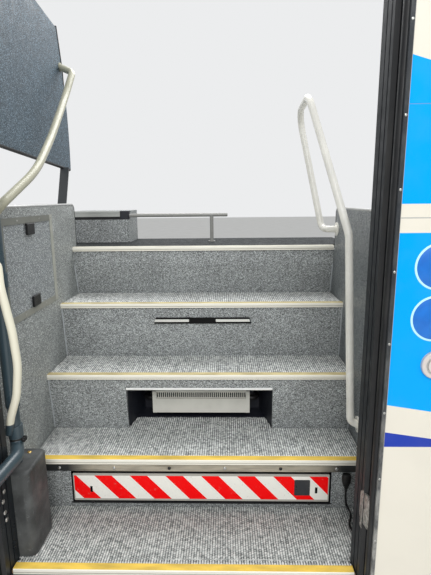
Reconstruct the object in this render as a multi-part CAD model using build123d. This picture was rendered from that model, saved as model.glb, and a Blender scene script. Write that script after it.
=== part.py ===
from build123d import *
import math
import os

# Entrance stairwell of a high-floor coach with the doorway round it: five
# nosings, side walls, the sliding drawer of a wheelchair lift under the second
# tread, a heater in a niche, grab rails, the turning door column and the
# framework that carries them.
# Millimetres. X runs to the right seen from outside, Y into the coach, Z up.
# The origin is on the underside of the sill beam, on the middle of the stairs,
# under the front edge of the first nosing.

# Stairs
STAIR_WIDTH = 1250.0        # between the side walls
FIRST_TREAD = 120.0         # top of the first tread above the base
RISES = (220.0, 250.0, 250.0, 230.0)
GOINGS = (270.0, 205.0, 205.0, 205.0)
KICKS = (36.0, 35.0, 30.0, 40.0)    # foot of a riser behind the nosing over it
LANDING_DEPTH = 450.0
MAT = 8.0
BOARD = 12.0
RISER = 12.0
NOSING_DEPTH = 28.0
NOSING_DROP = 20.0
NOSING_WALL = 4.0
RISER_LIP = 8.0             # head of a riser behind its nosing's front
TOP_RISER_DROP = 66.0       # upright part of the top riser
TOP_RISER_BEND = 60.0

# Side walls and the frames behind them
WALL = 10.0
LEFT_WALL_TOP = 1272.0
RIGHT_WALL_TOP = 1246.0
LEFT_WALL_REAR = 948.0
RIGHT_WALL_REAR = 876.0     # above the landing
WALL_HEEL = 942.0           # both walls reach this far back under the landing
WALL_CORNER = 26.0
FRAME_TUBE = 40.0
FRAME_WALL = 3.0
BASE_WIDTH = 75.0
BASE_WALL = 4.0
BASE_INSET = 25.0           # base beam reaches this far under the treads
SILL_FRONT = -20.0
SILL_DEPTH = 75.0
CROSS_Y = (300.0, 780.0)    # beams across the base, between sill and rear
REAR_RAIL = 560.0           # middle rail of the rear frame
REAR_BEAM = 50.0            # height of the beam under the landing
BEARER = 30.0
BEARER_WALL = 2.5
BEARER_BACK = 26.0          # front bearer behind its nosing
BOLT_HOLE = 13.0
BOLT_EDGE = 20.0            # bolt holes inside the base beam's outer face
BOLT_Y = (150.0, 1250.0)

# Doorway
LEFT_INSET = 40.0           # inner rear edge of the left jamb inside the side wall
RIGHT_INSET = 108.0
DOOR_TOP = 2150.0
JAMB_BACK = 50.0
JAMB_SPLAY = 16.0           # the jamb opens by this much towards the outside
JAMB_THICK = 48.0
JAMB_BOTTOM = 20.0
POST_WIDTH = 80.0
POST_DEPTH = 60.0
POST_WALL = 4.0
SKIN_FACE = -90.0
SKIN = 4.0
SKIN_REACH = 245.0          # skin panels reach this far beyond the side walls
SKIN_BOTTOM = 15.0
SKIN_OVER = 150.0           # skin over the doorway
EDGE_STRIP = 11.0
HEADER_HEIGHT = 80.0
OUTER_POST = 40.0
GIRTS = 4                   # rails behind each skin panel
GIRT_FOOT = 60.0
GIRT_DROP = 40.0            # top rail under the doorway's top

# Screen over the left wall
SCREEN_SET = 35.0           # screen face outside the stairs' side
SCREEN_EDGE = ((1044.0, 1441.0), (1026.0, 1896.0), (987.0, 2066.0))    # rear edge, as (y, z)
SCREEN_RISE = 0.058         # its lower edge climbs towards the door
SCREEN_LEVEL = 756.0        # its upper edge is level from here to the door
STAY = (8.0, 945.0, 865.0)  # flat stay under it: thickness, y of its head and foot

# Hatch in the left wall
HATCH_Y = (217.0, 657.0)
HATCH_Z = (870.0, 1235.0)
HATCH_TRIM = 20.0
HATCH_LIP = 4.0             # the trim covers the gap round the cover by this much
HATCH_PROUD = 3.0
LATCH = (62.0, 42.0, 7.0)   # width, height, how far it stands off

# Lift drawer
LIFT_INSET = (149.0, 127.0)     # platform ends inside the side walls, left and right
PULL_SLOTS = (68.0, 48.0)       # slots in the drawer's front, from its ends
PULL_SLOT = 8.0
PULL_Z = (193.0, 217.0)
LIFT_Z = (157.0, 273.0)
LIFT_FRONT = 285.0
LIFT_GAP = 14.0             # round the front plate
CASE_WALL = 4.0
CASE_Z = (130.0, 288.0)
CASE_REAR = 1190.0
DECK_LENGTH = 820.0
DECK_THICK = 38.0
GUIDE = 40.0
GLIDE_GAP = 0.3
STRIP_Z = (286.0, 318.0)
STUDS = 6

# Heater niche in the second riser
NICHE_X = (-306.0, 303.0)
NICHE_TAPER = 40.0          # each side comes in by this much at the back
NICHE_TOP = 522.0
NICHE_BACK = 690.0
NICHE_SHEET = 2.0
NICHE_MAT = 602.0           # the mat runs into the niche up to here
HEATER_X = 213.0
HEATER_Y = (585.0, 660.0)
HEATER_Z = (368.0, 469.0)
HEATER_CAP = 16.0
HEATER_AXIS = (620.0, 423.0)    # y and z of its pipe and hoses
GRILLE_Z = (438.0, 460.0)
GRILLE_SET = 6.0            # the grille lies behind the lower panel
SLOTS = 44
FINS = 18
PIPE = 22.0
HOSE = 25.0
HOSE_X = 248.0
BAR_X = (-211.0, 225.0)     # blank bar on the third riser
BAR_Z = (746.0, 773.0)
BAR_PROUD = 8.0
BAR_SLANT = 9.0

# Door column
COLUMN_INSET = 36.0         # axis inside the left side wall
COLUMN_Y = 120.0
COLUMN = 45.0
COLUMN_FOOT = 523.0
COLUMN_DROP = 54.0          # head of the column under the doorway's top
COLUMN_NECK = (36.0, 632.0)     # slimmer part above the collar: diameter, top
SLEEVE = (52.0, 1030.0, 1075.0)     # ring on the column: diameter, bottom and top
COLLAR = (47.0, 42.0)       # collar at the foot: diameter, height
JOURNAL = 30.0
JOURNAL_GAP = 0.05
ARM = 42.0
ARM_Z = 492.0
LEAF_REACH = (211.0, 305.0)     # leaf pin left of the column and in front of it
PIVOT_PIN = (24.0, 97.0)        # pin under the arm: diameter, length
LEAF_PIN = (20.0, 60.0)
RAIL = 30.0
RAIL_FLANGE = (62.0, 5.0)
GUARD_X = (-30.0, 60.0)     # guard beside the column's axis
GUARD_REAR = 205.0
GUARD_TOP = 430.0
GUARD_WALL = 5.0
BEARING = 54.0
BUTTON = (146.0, 858.0)     # right of the doorway, height

# Rails, as corners of their centre lines. The first number is the distance
# from the side wall (from the column's axis for the grab rail), then y and z.
RIGHT_RAIL = (
    (1.0, 385.0, 424.0), (30.0, 388.0, 436.0), (48.0, 470.0, 1153.0), (169.0, 730.0, 1704.0),
    (162.0, 1020.0, 1687.0), (59.0, 900.0, 1150.0), (35.0, 845.0, 1150.0), (1.0, 845.0, 1150.0),
)
RIGHT_BENDS = (24.0, 90.0, 70.0, 80.0, 40.0, 20.0)
LEFT_RAIL = (
    (-34.0, 998.0, 1904.0), (43.0, 935.0, 1862.0), (39.0, 830.0, 1738.0), (48.0, 610.0, 1540.0),
    (59.0, 410.0, 1396.0), (28.0, 205.0, 1284.0), (1.0, 178.0, 1240.0),
)
LEFT_BENDS = (50.0, 600.0, 1500.0, 700.0, 60.0)
GRAB_RAIL = (
    (2.0, 118.0, 1125.0), (21.0, 84.0, 1036.0), (49.0, 72.0, 898.0), (55.0, 72.0, 790.0),
    (39.0, 76.0, 688.0), (9.0, 84.0, 612.0), (-10.0, 94.0, 548.0),
)
GRAB_BENDS = (120.0, 200.0, 250.0, 200.0, 120.0)
GRAB = 25.0
ARM_ROUTE = ((31.0, 55.0), (24.0, -150.0))      # corners of the arm beside the column's axis: x, and y
ARM_BENDS = (26.0, 60.0, 80.0)

# Podium and low rail on the landing
PODIUM = (-75.0, 228.0)         # its sides, from the left side wall
PODIUM_Y = 1123.0
PODIUM_STEP = 120.0             # height of its covered front
PODIUM_GAP = 15.0
PODIUM_EDGE = 30.0
SOCKET = 48.0                   # block that holds the low rail
LOW_RAIL = (19.0, 122.0, 1140.0)    # diameter, right end, y
LOW_POST = 38.0

# Hand-control plug and its cord
PLUG_INSET = 68.0           # plug inside the right side wall
PLUG_Z = (222.0, 286.0)
CORD = 8.0
GLAND = (150.0, 140.0)          # y and z of the gland in the right wall


def block(x0, x1, y0, y1, z0, z1):
    """A box between two corners."""
    size = (abs(x1 - x0), abs(y1 - y0), abs(z1 - z0))
    middle = ((x0 + x1) / 2, (y0 + y1) / 2, (z0 + z1) / 2)
    return Pos(*middle) * Box(*size)


def hollow(axis, wall, x0, x1, y0, y1, z0, z1):
    """A rectangular tube along one axis, open at both ends."""
    inner = {
        "x": (x0 - 1, x1 + 1, y0 + wall, y1 - wall, z0 + wall, z1 - wall),
        "y": (x0 + wall, x1 - wall, y0 - 1, y1 + 1, z0 + wall, z1 - wall),
        "z": (x0 + wall, x1 - wall, y0 + wall, y1 - wall, z0 - 1, z1 + 1),
    }[axis]
    return block(x0, x1, y0, y1, z0, z1) - block(*inner)


def prism_x(points, x0, x1):
    """A side profile in (y, z), carried from x0 to x1."""
    face = make_face(Polyline(*[(x0, y, z) for y, z in points], close=True))
    return extrude(face, amount=x1 - x0, dir=(1, 0, 0))


def prism_z(points, z0, z1):
    """A plan profile in (x, y), carried from z0 to z1."""
    face = make_face(Polyline(*[(x, y, z0) for x, y in points], close=True))
    return extrude(face, amount=z1 - z0, dir=(0, 0, 1))


def rod(p, q, diameter):
    """A round bar between two points."""
    start = Vector(*p)
    along = Vector(*q) - start
    plane = Plane(origin=start, z_dir=along)
    return extrude(plane * Circle(diameter / 2), amount=along.length)


def bent_rod(points, radii, diameter):
    """A round rail on straight runs joined by tangent arcs."""
    path = FilletPolyline(*points, radius=radii)
    start = Vector(*points[0])
    plane = Plane(origin=start, z_dir=Vector(*points[1]) - start)
    return sweep(plane * Circle(diameter / 2), path=path)


def flange(centre, axis, diameter, thick):
    """A round wall plate of a rail; the axis points off the wall."""
    tip = Vector(*centre) + Vector(*axis) * thick
    return rod(centre, tuple(tip), diameter)


def total(values):
    """Running sums, starting from zero."""
    sums = [0.0]
    for value in values:
        sums.append(sums[-1] + value)
    return sums


half = STAIR_WIDTH / 2
tread_z = [FIRST_TREAD + rise for rise in total(RISES)]
nose_y = total(GOINGS)
rear = nose_y[-1] + LANDING_DEPTH
base_top = FIRST_TREAD - MAT - BOARD
frame_out = half + WALL + FRAME_TUBE
base_in = half - BASE_INSET
base_out = base_in + BASE_WIDTH
bolt_x = base_out - BOLT_EDGE
post_front = SKIN_FACE + SKIN
post_back = post_front + POST_DEPTH
door_left = -half + LEFT_INSET
door_right = half - RIGHT_INSET
jamb_right_out = door_right + JAMB_THICK
jamb_left_out = door_left - JAMB_THICK
skin_out = half + SKIN_REACH
skin_top = DOOR_TOP + SKIN_OVER
girt_step = (DOOR_TOP - GIRT_DROP - GIRT_FOOT) / (GIRTS - 1)
girt_z = [GIRT_FOOT + k * girt_step for k in range(GIRTS)]
screen_face = -half - SCREEN_SET
lift_x = (-half + LIFT_INSET[0], half - LIFT_INSET[1])
column_x = -half + COLUMN_INSET
column_head = DOOR_TOP - COLUMN_DROP
guard_x = (column_x + GUARD_X[0], column_x + GUARD_X[1])
leaf_pivot = (column_x - LEAF_REACH[0], COLUMN_Y - LEAF_REACH[1])
plug_x = half - PLUG_INSET
deck_under = tread_z[4] - MAT - BOARD
frame_drop = 12.0               # top rail of a side frame under its wall's top
left_rail_z = LEFT_WALL_TOP - frame_drop
parts = {}


def jamb_face(y):
    """X of the right jamb's inner face at a depth."""
    return door_right + JAMB_SPLAY * (JAMB_BACK - y) / (JAMB_BACK - post_front)


def between_jambs(z0, z1):
    """The floor area of the first tread, narrowed between the jambs."""
    right = jamb_face(SILL_FRONT)
    left = door_left + door_right - right
    outline = [(left, SILL_FRONT), (right, SILL_FRONT), (door_right, JAMB_BACK), (half, JAMB_BACK),
               (half, nose_y[2]), (-half, nose_y[2]), (-half, JAMB_BACK), (door_left, JAMB_BACK)]
    return prism_z(outline, z0, z1)


def riser_faces(i):
    """Front face of riser i as (y, z) at its head and its foot."""
    head = (nose_y[i + 1] + RISER_LIP, tread_z[i + 1] - MAT - BOARD)
    foot = (nose_y[i + 1] + KICKS[i], tread_z[i] - MAT)
    return head, foot


def riser_knee():
    """Where the top riser turns from upright to undercut."""
    return (nose_y[4] + RISER_LIP, tread_z[4] - NOSING_DROP - TOP_RISER_DROP)


def riser_y(i, z):
    """Y of the front face of riser i at a height, below its knee if it has one."""
    head, foot = riser_faces(i)
    if i == 3:
        head = riser_knee()
    return foot[0] + (head[0] - foot[0]) * (z - foot[1]) / (head[1] - foot[1])


# Base and framework

def make_base():
    beams = []
    for side in (-1, 1):
        x0, x1 = sorted((side * base_in, side * base_out))
        beams.append(hollow("y", BASE_WALL, x0, x1, post_back, rear, 0, base_top))
    for y0 in (SILL_FRONT, *CROSS_Y, rear - SILL_DEPTH):
        beams.append(hollow("x", BASE_WALL, -base_in, base_in, y0, y0 + SILL_DEPTH, 0, base_top))
    base = beams[0]
    for beam in beams[1:]:
        base = base + beam
    for x in (-bolt_x, bolt_x):
        for y in BOLT_Y:
            base = base - Pos(x, y, base_top / 2) * Cylinder(BOLT_HOLE / 2, base_top + 2)
    return base


def make_stair_frame(side, top, wall_rear):
    """Square tubes outside one side wall."""
    x0, x1 = sorted((side * (half + WALL), side * frame_out))
    rail_z = top - frame_drop
    front = JAMB_BACK + 10.0
    frame = hollow("z", FRAME_WALL, x0, x1, front, front + FRAME_TUBE, base_top, rail_z - FRAME_TUBE)
    back = wall_rear - FRAME_TUBE
    frame = frame + hollow("z", FRAME_WALL, x0, x1, back, wall_rear, base_top, rail_z - FRAME_TUBE)
    frame = frame + hollow("y", FRAME_WALL, x0, x1, front, wall_rear, rail_z - FRAME_TUBE, rail_z)
    for z in (tread_z[1] - 60.0, tread_z[3] - 60.0):
        frame = frame + hollow("y", FRAME_WALL, x0, x1, front + FRAME_TUBE, back, z, z + FRAME_TUBE)
    return frame


def make_rear_frame():
    posts = []
    low = deck_under - REAR_BEAM
    for side in (-1, 1):
        x0, x1 = sorted((side * (half + WALL), side * frame_out))
        posts.append(hollow("z", FRAME_WALL, x0, x1, rear - FRAME_TUBE, rear, base_top, low))
    beam = hollow("x", FRAME_WALL, -frame_out, frame_out, rear - FRAME_TUBE, rear, low, deck_under)
    middle = hollow("x", FRAME_WALL, -half - WALL, half + WALL, rear - FRAME_TUBE, rear, REAR_RAIL, REAR_RAIL + FRAME_TUBE)
    return posts[0] + posts[1] + beam + middle


def make_bearers():
    """Square tubes under the treads, from wall to wall."""
    bars = []
    for i in range(1, 5):
        under = tread_z[i] - MAT - BOARD
        front = nose_y[i] + BEARER_BACK
        bars.append((front, under))
    bars.append((nose_y[4] + 230.0, deck_under))
    solids = []
    for y, z in bars:
        solids.append(hollow("x", BEARER_WALL, -half, half, y, y + BEARER, z - BEARER, z))
    return Compound(solids)


def make_door_post(side):
    """Post beside the doorway, the outer post and the rails behind the skin."""
    inner = jamb_right_out if side > 0 else jamb_left_out
    x0, x1 = sorted((inner, inner + side * POST_WIDTH))
    top = skin_top - 20.0
    frame = hollow("z", POST_WALL, x0, x1, post_front, post_back, 0, top)
    o0, o1 = sorted((side * (skin_out - OUTER_POST), side * skin_out))
    frame = frame + hollow("z", FRAME_WALL, o0, o1, post_front, post_front + OUTER_POST, 0, top)
    g0, g1 = sorted((inner + side * POST_WIDTH, side * (skin_out - OUTER_POST)))
    for z in girt_z:
        frame = frame + hollow("x", FRAME_WALL, g0, g1, post_front, post_front + OUTER_POST, z, z + OUTER_POST)
    return frame


def make_header():
    return hollow("x", POST_WALL, jamb_left_out, jamb_right_out, post_front, post_back,
                  DOOR_TOP + 20.0, DOOR_TOP + 20.0 + HEADER_HEIGHT)


# Stairs

def niche_plan(y0, y1, wall):
    """Plan of the tapered heater niche between two depths, wall thicker than its room."""
    start = riser_faces(1)[1][0] + RISER
    taper = NICHE_TAPER / (NICHE_BACK - NICHE_SHEET - start)
    outline = []
    for y in (y0, y1):
        come_in = taper * max(0.0, y - start)
        outline.append((NICHE_X[0] + come_in - wall, NICHE_X[1] - come_in + wall, y))
    (a, b, near), (c, d, far) = outline
    return [(a, near), (b, near), (d, far), (c, far)]


def make_deck(i):
    back = riser_faces(i)[1][0] + RISER
    z = tread_z[i] - MAT
    deck = block(-half, half, nose_y[i] + NOSING_WALL, back, z - BOARD, z)
    if i == 0:
        deck = deck & between_jambs(z - BOARD, z)
    if i == 1:
        deck = deck + block(NICHE_X[0], NICHE_X[1], back - 1, NICHE_BACK - NICHE_SHEET, z - BOARD, z)
    return deck


def make_landing():
    z = tread_z[4]
    floor = block(-half, half, nose_y[4] + NOSING_DEPTH, LEFT_WALL_REAR + 5, deck_under, z)
    floor = floor + block(-half, half, nose_y[4] + NOSING_WALL, nose_y[4] + NOSING_DEPTH, deck_under, z - MAT)
    wide = block(-frame_out - 45, frame_out + 45, LEFT_WALL_REAR + 5, rear, deck_under, z)
    return floor + wide


def make_riser(i):
    head, foot = riser_faces(i)
    if i == 3:
        knee = riser_knee()
        front = FilletPolyline((0, *head), (0, *knee), (0, *foot), radius=TOP_RISER_BEND)
        back = FilletPolyline((0, foot[0] + RISER, foot[1]), (0, knee[0] + RISER, knee[1]),
                              (0, head[0] + RISER, head[1]), radius=TOP_RISER_BEND)
        low = Line((0, *foot), (0, foot[0] + RISER, foot[1]))
        up = Line((0, head[0] + RISER, head[1]), (0, *head))
        face = make_face(Curve() + [front, low, back, up])
        return Pos(-half, 0, 0) * extrude(face, amount=STAIR_WIDTH, dir=(1, 0, 0))
    profile = [head, (head[0] + RISER, head[1]), (foot[0] + RISER, foot[1]), foot]
    riser = prism_x(profile, -half, half)
    if i == 0:
        riser = riser - block(lift_x[0] - LIFT_GAP, lift_x[1] + LIFT_GAP, head[0] - 20, foot[0] + 40,
                              LIFT_Z[0] - LIFT_GAP, LIFT_Z[1] + LIFT_GAP)
    if i == 1:
        riser = riser - block(NICHE_X[0], NICHE_X[1], head[0] - 20, foot[0] + 40,
                              foot[1] - 1, NICHE_TOP)
    return riser


def make_mat(i):
    z = tread_z[i]
    back = riser_y(i, z)
    mat = block(-half, half, nose_y[i] + NOSING_DEPTH, back, z - MAT, z)
    if i == 0:
        mat = mat & between_jambs(z - MAT, z)
    if i == 1:
        mat = mat + prism_z(niche_plan(back - 1, NICHE_MAT, 0), z - MAT, z)
    return mat


def make_nosing(i):
    """An angle over the tread's front edge, with two grooves in its face."""
    y, z = nose_y[i], tread_z[i]
    x0, x1 = (door_left, door_right) if i == 0 else (-half, half)
    profile = [
        (y, z - 2.0), (y + 2.0, z), (y + NOSING_DEPTH, z), (y + NOSING_DEPTH, z - MAT),
        (y + NOSING_WALL, z - MAT), (y + NOSING_WALL, z - NOSING_DROP), (y, z - NOSING_DROP),
        (y, z - 15.0), (y + 1.2, z - 14.0), (y + 1.2, z - 12.0), (y, z - 11.0),
    ]
    return prism_x(profile, x0, x1)


# Side walls

def make_side_wall(side, top, wall_rear):
    x0, x1 = sorted((side * half, side * (half + WALL)))
    wall = block(x0, x1, JAMB_BACK, wall_rear, base_top, top)
    corner = wall.edges().filter_by(Axis.X).sort_by(lambda e: e.center().Y + e.center().Z)[-1]
    wall = fillet(corner, WALL_CORNER)
    if wall_rear < WALL_HEEL:
        wall = wall + block(x0, x1, JAMB_BACK, WALL_HEEL, base_top, deck_under)
    if side < 0:
        wall = wall - block(x0 - 1, x1 + 1, HATCH_Y[0] + HATCH_TRIM, HATCH_Y[1] - HATCH_TRIM,
                            HATCH_Z[0] + HATCH_TRIM, HATCH_Z[1] - HATCH_TRIM)
    return wall


def make_hatch_frame():
    trim = block(-half, -half + HATCH_PROUD, HATCH_Y[0], HATCH_Y[1], HATCH_Z[0], HATCH_Z[1])
    rim = HATCH_TRIM + HATCH_LIP
    hole = block(-half - 1, -half + HATCH_PROUD + 1, HATCH_Y[0] + rim, HATCH_Y[1] - rim,
                 HATCH_Z[0] + rim, HATCH_Z[1] - rim)
    return trim - hole


def make_hatch_cover():
    """Lift-out cover behind the trim, with a latch at the top and the bottom."""
    play = 1.0
    cover = block(-half - 6.0, -half, HATCH_Y[0] + HATCH_TRIM + play, HATCH_Y[1] - HATCH_TRIM - play,
                  HATCH_Z[0] + HATCH_TRIM + play, HATCH_Z[1] - HATCH_TRIM - play)
    middle = sum(HATCH_Y) / 2
    width, height, proud = LATCH
    edge = HATCH_TRIM + HATCH_LIP + play
    low = HATCH_Z[0] + edge
    high = HATCH_Z[1] - edge - height
    face = -half + HATCH_PROUD
    for z, stem in ((low, low + height - 8.0), (high, high + 8.0)):
        tab = block(face, face + proud, middle - width / 2, middle + width / 2, z, z + height)
        tab = chamfer(tab.faces().sort_by(Axis.X)[-1].edges(), 2.0)
        cover = cover + tab + block(-half - 1.0, face + 1.0, middle - 12, middle + 12, stem - 6, stem + 6)
    return cover


# Lift drawer

def make_cassette():
    """Open-fronted case under the second tread with a guide channel each side."""
    x0 = lift_x[0] - LIFT_GAP - CASE_WALL
    x1 = lift_x[1] + LIFT_GAP + CASE_WALL
    y0 = riser_faces(0)[1][0] + RISER + 2.0
    case = block(x0, x1, y0, CASE_REAR, CASE_Z[0], CASE_Z[1])
    case = case - block(x0 + CASE_WALL, x1 - CASE_WALL, y0 - 1, CASE_REAR - CASE_WALL,
                        CASE_Z[0] + CASE_WALL, CASE_Z[1] - CASE_WALL)
    for y in CROSS_Y:
        case = case + block(x0 + 60, x1 - 60, y + 22.0, y + 52.0, base_top, CASE_Z[0])
    z = LIFT_Z[0] + 6.0
    for side, x in ((1, x0 + CASE_WALL), (-1, x1 - CASE_WALL)):
        a, b = sorted((x, x + side * 22.0))
        case = case + block(a, b, y0, CASE_REAR - CASE_WALL, z - 5.0, z)
        case = case + block(a, b, y0, CASE_REAR - CASE_WALL, z + GUIDE, z + GUIDE + 5.0)
    return case


def make_platform():
    """Sliding platform: a tray between two side rails, and its front plate."""
    y0 = LIFT_FRONT
    z = LIFT_Z[0] + 6.0 + GLIDE_GAP
    side_in = 26.0
    plate = block(lift_x[0], lift_x[1], y0, y0 + 6.0, LIFT_Z[0], LIFT_Z[1])
    plate = fillet(plate.edges().filter_by(Axis.Y), 4.0)
    for x in (lift_x[0] + PULL_SLOTS[0], lift_x[1] - PULL_SLOTS[1]):
        plate = plate - block(x - PULL_SLOT / 2, x + PULL_SLOT / 2, y0 - 1, y0 + 3.0, *PULL_Z)
    body = plate
    for side, x in ((1, lift_x[0]), (-1, lift_x[1])):
        a, b = sorted((x, x + side * side_in))
        web = sorted((x + side * 12.0, x + side * side_in))
        rail = block(a, b, y0 + 40.0, y0 + DECK_LENGTH, z, z + GUIDE - 2 * GLIDE_GAP)
        front = block(web[0], web[1], y0 + 6.0, y0 + 40.0, z, z + GUIDE - 2 * GLIDE_GAP)
        body = body + rail + front
    tray = block(lift_x[0] + side_in, lift_x[1] - side_in, y0 + 6.0, y0 + DECK_LENGTH, z + 4.0, z + DECK_THICK)
    for k in range(5):
        x = lift_x[0] + 60.0 + k * 174.0
        tray = tray - block(x, x + 150.0, y0 + 60.0, y0 + DECK_LENGTH - 40.0, z + 3.0, z + DECK_THICK - 5.0)
    return body + tray


def make_lift_frame():
    """Rails above and below the front plate, fixed to the riser."""
    x0 = lift_x[0] - LIFT_GAP
    x1 = lift_x[1] + LIFT_GAP
    z0 = LIFT_Z[0] - LIFT_GAP
    z1 = LIFT_Z[1] + LIFT_GAP
    back = riser_y(0, z0) + RISER
    rim = block(x0 + 0.5, x1 - 0.5, LIFT_FRONT + 2.0, back, z0 + 0.5, z1 - 0.5)
    rim = rim - block(x0 + 6.5, x1 - 6.5, LIFT_FRONT, back + 2, z0 + 6.5, z1 - 6.5)
    return rim


def make_step_strip():
    """Metal strip under the second nosing, with its row of studs."""
    z0, z1 = STRIP_Z
    low, high = riser_y(0, z0), riser_y(0, z1)
    strip = prism_x([(low, z0), (high, z1), (high - 3.0, z1), (low - 3.0, z0)], -half + 2, half - 2)
    middle = (z0 + z1) / 2
    y = riser_y(0, middle)
    for k in range(STUDS):
        x = (k - (STUDS - 1) / 2) * STAIR_WIDTH / STUDS
        strip = strip + rod((x, y - 2.0, middle), (x, y - 6.0, middle), 12.0)
    return strip


# Heater niche

def make_niche():
    """Sheet box round the heater: tapered sides, back, top and the floor behind the mat."""
    z0 = tread_z[1] - MAT
    y0 = riser_faces(1)[1][0] + RISER + 1.0
    t = NICHE_SHEET
    back = NICHE_BACK - t
    shell = prism_z(niche_plan(y0, NICHE_BACK, t), z0, NICHE_TOP + t)
    shell = shell - prism_z(niche_plan(y0 - 1, back, 0), z0 - 1, NICHE_TOP)
    return shell + prism_z(niche_plan(NICHE_MAT + t, back + 1, 0), z0, z0 + MAT)


def make_heater():
    """Low convector: a panel under a set-back grille, two end caps and a finned pipe."""
    y0, y1 = HEATER_Y
    z0, z1 = HEATER_Z
    low, high = GRILLE_Z
    wall = 3.0
    set_back = y0 + GRILLE_SET
    profile = [(y0, z0), (y1, z0), (y1, z1), (set_back, z1), (set_back, low - 4.0), (y0, low - 4.0)]
    room = [(y0 + wall, z0 - 1), (y1 - wall, z0 - 1), (y1 - wall, z1 - wall), (set_back + wall, z1 - wall),
            (set_back + wall, low - 6.0), (y0 + wall, low - 6.0)]
    inner = HEATER_X - HEATER_CAP
    case = prism_x(profile, -inner, inner) - prism_x(room, -inner - 1, inner + 1)
    pitch = 2 * inner / SLOTS
    for k in range(SLOTS):
        x = -inner + pitch * (k + 0.5)
        case = case - block(x - pitch * 0.28, x + pitch * 0.28, y0, set_back + wall + 1, low, high)
    y, z = HEATER_AXIS
    core = rod((-inner, y, z), (inner, y, z), PIPE)
    for k in range(FINS):
        x = -inner + 2 * inner * (k + 0.5) / FINS
        core = core + block(x - 1.0, x + 1.0, y - 22.0, y + 22.0, z - 20.0, z + 20.0)
    heater = case + core
    for side in (-1, 1):
        a, b = sorted((side * inner, side * HEATER_X))
        cap = block(a, b, y0 - 2.0, y1, z0 - 2.0, z1)
        cap = fillet(cap.edges().filter_by(Axis.X).group_by(Axis.Y)[0], 5.0)
        c, d = sorted((side * (inner - 40.0), side * (inner - 10.0)))
        hook = block(c, d, y1 - wall, NICHE_BACK - NICHE_SHEET, z0 + 30.0, z0 + 36.0)
        heater = heater + cap + hook
    return heater


def make_hoses():
    """Hoses from the heater's ends through the back of the niche."""
    y, z = HEATER_AXIS
    hoses = []
    for side in (-1, 1):
        route = [(side * HEATER_X, y, z), (side * HOSE_X, y, z), (side * HOSE_X, NICHE_BACK - NICHE_SHEET, z)]
        hoses.append(bent_rod(route, [HOSE + 2.0], HOSE))
    return Compound(hoses)


def make_trim_bar():
    """Blank bar on the third riser, under its nosing."""
    z0, z1 = BAR_Z
    low, high = riser_y(2, z0), riser_y(2, z1)
    bar = prism_x([(low, z0), (high, z1), (high - BAR_PROUD, z1), (low - BAR_PROUD, z0)], *BAR_X)
    front = [(BAR_X[0], z0), (BAR_X[1], z0), (BAR_X[1] - BAR_SLANT, z1), (BAR_X[0] + BAR_SLANT, z1)]
    face = make_face(Polyline(*[(x, low - 2 * BAR_PROUD, z) for x, z in front], close=True))
    return bar & extrude(face, amount=4 * BAR_PROUD, dir=(0, 1, 0))


# Handrails

def make_right_rail():
    points = [(half - inset, y, z) for inset, y, z in RIGHT_RAIL]
    rail = bent_rod(points, RIGHT_BENDS, RAIL)
    for _, y, z in (points[0], points[-1]):
        rail = rail - Pos(half + RAIL, y, z) * Box(2 * RAIL, 200, 200)
        rail = rail + flange((half, y, z), (-1, 0, 0), *RAIL_FLANGE)
    return rail


def make_left_rail():
    points = [(-half + inset, y, z) for inset, y, z in LEFT_RAIL]
    high, low = points[0], points[-1]
    rail = bent_rod(points, LEFT_BENDS, RAIL)
    for face, (_, y, z) in ((screen_face, high), (-half, low)):
        rail = rail - Pos(face - RAIL, y, z) * Box(2 * RAIL, 200, 200)
    return rail + flange((screen_face, *high[1:]), (1, 0, 0), RAIL + 8.0, 4.0) + \
        flange((-half, *low[1:]), (1, 0, 0), *RAIL_FLANGE)


def screen_low(y):
    """Height of the screen's lower edge at a depth."""
    foot_y, foot_z = SCREEN_EDGE[0]
    return foot_z + SCREEN_RISE * (foot_y - y)


def make_screen():
    """Screen panel from the left door post to its bowed rear edge."""
    x = screen_face - BOARD
    corners = [(x, y, z) for y, z in SCREEN_EDGE]
    rear_edge = ThreePointArc(*corners)
    rest = Polyline(corners[2], (x, SCREEN_LEVEL, column_head), (x, post_back, column_head),
                    (x, post_back, screen_low(post_back)), corners[0])
    return extrude(make_face(Curve() + [rear_edge, rest]), amount=BOARD, dir=(1, 0, 0))


def make_screen_post():
    """Flat stay from the left side frame up to the screen's lower edge."""
    thick, head_y, foot_y = STAY
    profile = [(foot_y, left_rail_z), (foot_y + thick, left_rail_z),
               (head_y + thick, screen_low(head_y + thick)), (head_y, screen_low(head_y))]
    return prism_x(profile, -frame_out, -half - WALL)


# Door column and arm

def make_column():
    """Column with its upper journal, a sleeve, and a slimmer neck over the collar."""
    x, y = column_x, COLUMN_Y
    neck, neck_top = COLUMN_NECK
    sleeve, low, high = SLEEVE
    collar, tall = COLLAR
    column = rod((x, y, COLUMN_FOOT), (x, y, neck_top), neck)
    column = column + rod((x, y, neck_top), (x, y, column_head), COLUMN)
    column = column + rod((x, y, column_head), (x, y, column_head + 40.0), JOURNAL)
    column = column + rod((x, y, low), (x, y, high), sleeve)
    return column + rod((x, y, COLUMN_FOOT), (x, y, COLUMN_FOOT + tall), collar)


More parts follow.
